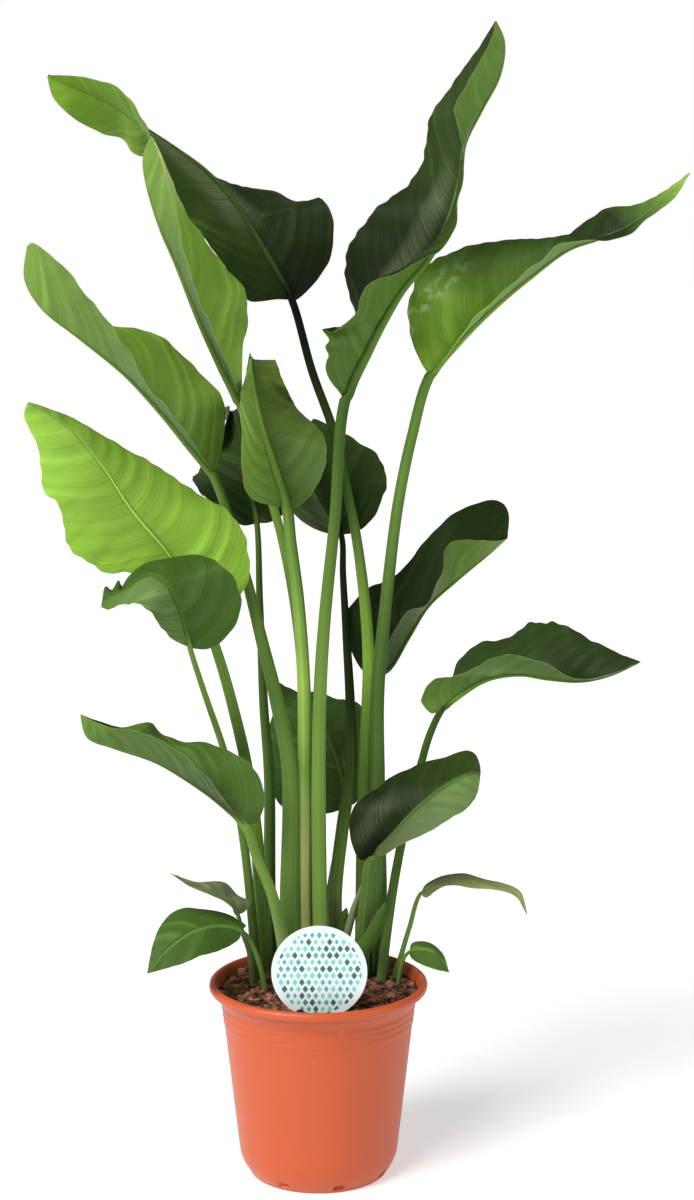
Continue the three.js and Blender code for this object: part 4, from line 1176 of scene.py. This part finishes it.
def make_soil(sizes):
    """Mounded surface of the potting mix on a plain plug that fills the pot."""
    rings, sides, bottom = 60, 160, SOIL_LOW.z + 0.012
    share = np.linspace(0, 1, rings + 1)[1:]
    turn = np.linspace(0, 2 * math.pi, sides, endpoint=False)
    x, y = (np.outer(share, way(turn)) * (SOIL_HIGH.x - 0.0004) for way in (np.cos, np.sin))
    draw = np.random.default_rng(5)
    waves = zip(draw.uniform(90, 700, 16), draw.uniform(0, math.pi, 16), draw.uniform(0, 6, 16))
    lumps = sum(
        np.sin(x * f * math.cos(a) + y * f * math.sin(a) + p) / (1 + k * 0.25)
        for k, (f, a, p) in enumerate(waves))
    rise = sizes.edge + (sizes.crown - sizes.edge) * (1 - share ** 2)[:, None]
    z = rise + sizes.lump * 0.45 * lumps * np.clip((1 - share[:, None]) * 8, 0.15, 1)
    plug = [
        np.stack([x[-1] * inset, y[-1] * inset, np.full(sides, height)], -1)
        for inset, height in ((0.95, sizes.edge - 0.014), (0.75, bottom))]
    points = np.vstack([(0, 0, sizes.crown), np.stack([x, y, z], -1).reshape(-1, 3), *plug,
                        (0, 0, bottom)])
    grid = ring_grid(rings + 2, sides, 1)
    faces = [[0, a, b] for a, b in zip(grid[0], grid[0, 1:])]
    faces += grid_faces(grid)[:, [0, 3, 2, 1]].tolist()
    faces += [[len(points) - 1, b, a] for a, b in zip(grid[-1], grid[-1, 1:])]
    made = make_object("soil_bed", points, faces, [soil_finish("soil_mix", sizes, 0.55)])
    seat(made, "soil", "soil")


def crumb_tree():
    """Geometry Nodes tree that strews rough lumps over the upward faces of a surface."""
    tree, wires = tree_with(
        "strewn_lumps", Density="Float", Size="Float", Flatness="Float", Length="Float",
        Detail="Int", Seed="Int", Material="Material")
    wire = Wire(tree)

    def spread(low, high, step):
        values = {2: low, 3: high, "Seed": wires["Seed"] + step}
        return wire.node("FunctionNodeRandomValue", {"data_type": "FLOAT"}, values, 1)

    upward = wire.node("GeometryNodeInputNormal").axis("Z").math("GREATER_THAN", 0.3)
    high = wire.node("GeometryNodeInputPosition").axis("Z").math("GREATER_THAN", 0.19)
    points = wire.node("GeometryNodeDistributePointsOnFaces", {"distribute_method": "RANDOM"}, {
        "Mesh": wires["Geometry"], "Selection": upward * high, "Density": wires["Density"],
        "Seed": wires["Seed"]})
    lump = wire.node("GeometryNodeMeshIcoSphere", None, {
        "Radius": 1.0, "Subdivisions": wires["Detail"]})
    turn = wire.node("FunctionNodeRandomValue", {"data_type": "FLOAT_VECTOR"}, {
        0: (-0.5, -0.5, 0.0), 1: (0.5, 0.5, 6.283), "Seed": wires["Seed"] + 1})
    size = wires["Size"] * spread(0.5, 1.5, 2)
    scale = wire.node("ShaderNodeCombineXYZ", None, {
        "X": size * wires["Length"] * spread(0.6, 1.2, 3), "Y": size, "Z": size * wires["Flatness"]})
    placed = wire.node("GeometryNodeInstanceOnPoints", None, {
        "Points": points, "Instance": lump, "Rotation": turn, "Scale": scale})
    real = wire.node("GeometryNodeRealizeInstances", None, {"Geometry": placed})
    rough = wire.node("ShaderNodeTexNoise", {"noise_dimensions": "3D"}, {"Scale": 330.0}, "Color")
    push = wire.node("ShaderNodeVectorMath", {"operation": "SUBTRACT"}, {
        0: rough, 1: (0.5, 0.5, 0.5)}).scaled(wires["Size"] * 1.1)
    broken = wire.node("GeometryNodeSetPosition", None, {"Geometry": real, "Offset": push})
    return end_tree(tree, broken, wires["Material"])


def make_lumps(name, material, **values):
    """Lumps of one kind, strewn over the soil bed by their tree."""
    if "soil_bed" not in bpy.data.objects:
        raise RuntimeError("the soil bed comes first")
    data = bpy.data.objects["soil_bed"].data.copy()
    seat(grow(data, crumb_tree(), {**values, "Material": material}, name), "soil")


def make_tag(sizes):
    """Round card with a rounded edge and a pointed spike below it."""
    radius, half, width = sizes.radius, sizes.thickness / 2, sizes.spike_width / 2
    centre = ((TAG_LOW.x + TAG_HIGH.x) / 2, (TAG_LOW.y + TAG_HIGH.y) / 2, TAG_HIGH.z - radius)
    join = math.asin(width / radius)
    turns = np.linspace(-math.pi / 2 + join, 1.5 * math.pi - join, 180)
    tip = TAG_LOW.z - centre[2]
    shoulder = (tip - radius) * 0.62
    outline = np.vstack([
        np.stack([np.cos(turns), np.sin(turns)], -1) * radius,
        [(-width, shoulder), (0, tip), (width, shoulder)]])
    bevel = 0.00018
    points = []
    for depth, inset in ((-half, bevel), (-half + bevel, 0), (half - bevel, 0), (half, bevel)):
        x, z = (outline * (1 - inset / radius)).T
        points.append(np.stack([x + centre[0], np.full(len(x), depth + centre[1]), z + centre[2]], -1))
    grid = ring_grid(4, len(outline))
    faces = [grid[0, :-1].tolist(), grid[3, -2::-1].tolist()]
    faces += grid_faces(grid)[:, [1, 0, 3, 2]].tolist()
    front = (centre[0], centre[1] - half + 0.0003, centre[2])
    made = make_object("plant_tag_card", np.vstack(points), faces, [tag_finish(sizes, front)], 40)
    seat(made, "tag", "plant_tag")


def add_light(name, kind, place, target, energy, **settings):
    """A light at a place that shines at a target."""
    data = bpy.data.lights.new(name, kind)
    data.energy = energy
    for key, value in settings.items():
        setattr(data, key, value)
    x, y, z = np.subtract(target, place)
    made = add_object(name, data)
    made.location = place
    made.rotation_euler = (math.atan2(math.hypot(x, y), -z), 0, math.atan2(y, x) - math.pi / 2)


def make_stage(sizes):
    """Camera at the photograph's angle, pale floor, white room and soft boxes."""
    scene = bpy.context.scene
    camera = add_object("camera", bpy.data.cameras.new("camera"))
    camera.data.lens = sizes.lens
    camera.data.sensor_width = 36
    camera.location = sizes.camera_place
    camera.rotation_euler = (math.radians(90) - sizes.camera_pitch, 0, 0)
    scene.camera = camera
    scene.view_settings.view_transform = "Standard"
    scene.view_settings.look = "None"
    half, below = sizes.floor_size / 2, -0.0005
    corners = [(-half, -half, below), (half, -half, below), (half, half, below), (-half, half, below)]
    floor = make_object("studio_floor", corners, [[0, 1, 2, 3]], [floor_finish()])
    world = bpy.data.worlds.new("studio_room")
    world.use_nodes = True
    tree = world.node_tree
    tree.nodes.clear()
    wire = Wire(tree)
    seen = wire.node("ShaderNodeLightPath", None, None, "Is Camera Ray")
    room = wire.node("ShaderNodeBackground", None, {
        "Color": (1.0, 1.0, 1.0, 1.0), "Strength": seen * (1.0 - sizes.sky) + sizes.sky})
    end = tree.nodes.new("ShaderNodeOutputWorld")
    tree.links.new(room.socket, end.inputs["Surface"])
    scene.world = world
    add_light("key", "SUN", (-2.4, -3.0, 4.4), (0, 0, 0.6), sizes.key_power, angle=math.radians(32))
    add_light("box_left", "AREA", (-2.1, -1.5, 1.7), (0, 0, 0.7), sizes.box_power,
              shape="RECTANGLE", size=1.0, size_y=2.2)
    add_light("box_right", "AREA", (2.2, -1.2, 1.3), (0, 0, 0.6), sizes.fill_power,
              shape="RECTANGLE", size=0.9, size_y=2.0)


class PLANT_OT_stage(bpy.types.Operator):
    """Add the camera, the pale floor and the studio lights"""

    bl_idname = "plant.stage"
    bl_label = "Studio"

    def execute(self, context):
        make_stage(context.scene.plant_stage)
        return {"FINISHED"}


class PLANT_OT_pot(bpy.types.Operator):
    """Turn the nursery pot"""

    bl_idname = "plant.pot"
    bl_label = "Pot"

    def execute(self, context):
        make_pot(context.scene.plant_pot)
        return {"FINISHED"}


class PLANT_OT_soil(bpy.types.Operator):
    """Fill the pot with soil"""

    bl_idname = "plant.soil"
    bl_label = "Soil bed"

    def execute(self, context):
        make_soil(context.scene.plant_soil)
        return {"FINISHED"}


class PLANT_OT_crumbs(bpy.types.Operator):
    """Strew crumbs of peat and chips of bark on the soil"""

    bl_idname = "plant.crumbs"
    bl_label = "Crumbs and bark"

    def execute(self, context):
        sizes = context.scene.plant_soil
        make_lumps("soil_crumbs", soil_finish("peat_crumbs", sizes, 0.6), Size=sizes.crumb,
                   Density=sizes.crumb_density, Flatness=0.7, Length=1.2, Detail=1, Seed=11)
        make_lumps("bark_chips", soil_finish("bark_chips", sizes, 1.0), Size=sizes.chip,
                   Density=sizes.chip_density, Flatness=0.4, Length=1.6, Detail=2, Seed=23)
        return {"FINISHED"}


class PLANT_OT_leaves(bpy.types.Operator):
    """Grow the large leaves"""

    bl_idname = "plant.leaves"
    bl_label = "Leaves"

    def execute(self, context):
        for seed, leaf in enumerate(LEAVES):
            if not leaf.small:
                make_leaf(leaf, context.scene.plant_leaf, seed)
        return {"FINISHED"}


class PLANT_OT_sprouts(bpy.types.Operator):
    """Grow the small young leaves and the sheaths at the foot"""

    bl_idname = "plant.sprouts"
    bl_label = "Sprouts"

    def execute(self, context):
        for seed, leaf in enumerate(LEAVES):
            if leaf.small:
                make_leaf(leaf, context.scene.plant_leaf, seed)
        make_sheaths(context.scene.plant_leaf)
        return {"FINISHED"}


class PLANT_OT_tag(bpy.types.Operator):
    """Cut the round plant tag"""

    bl_idname = "plant.tag"
    bl_label = "Plant tag"

    def execute(self, context):
        make_tag(context.scene.plant_tag)
        return {"FINISHED"}


class PLANT_PT_panel(bpy.types.Panel):
    """Lists the plant's pieces and their sizes"""

    bl_label = "Bird of paradise"
    bl_space_type = "VIEW_3D"
    bl_region_type = "UI"
    bl_category = "Plant"

    def draw(self, context):
        for kind in OPERATORS:
            self.layout.operator(kind.bl_idname)
        for name in GROUPS:
            box = self.layout.box()
            group = getattr(context.scene, name)
            for key in group.bl_rna.properties.keys():
                if key not in ("rna_type", "name"):
                    box.prop(group, key)


OPERATORS = (
    PLANT_OT_stage, PLANT_OT_pot, PLANT_OT_soil, PLANT_OT_crumbs, PLANT_OT_leaves,
    PLANT_OT_sprouts, PLANT_OT_tag)
GROUPS = {
    "plant_pot": PotSizes,
    "plant_soil": SoilSizes,
    "plant_leaf": LeafSizes,
    "plant_tag": TagSizes,
    "plant_stage": StageSizes,
}


def register():
    """Adds the add-on's classes and its sizes on the scene."""
    for kind in (*GROUPS.values(), *OPERATORS, PLANT_PT_panel):
        bpy.utils.register_class(kind)
    for name, kind in GROUPS.items():
        setattr(bpy.types.Scene, name, PointerProperty(type=kind))


def unregister():
    """Takes the sizes and the classes away again."""
    for name in GROUPS:
        delattr(bpy.types.Scene, name)
    for kind in (PLANT_PT_panel, *OPERATORS, *GROUPS.values()):
        bpy.utils.unregister_class(kind)


def main():
    """Builds every piece."""
    register()
    bpy.ops.plant.stage()
    bpy.ops.plant.pot()
    bpy.ops.plant.soil()
    bpy.ops.plant.crumbs()
    bpy.ops.plant.leaves()
    bpy.ops.plant.sprouts()
    bpy.ops.plant.tag()


if __name__ == "__main__":
    main()
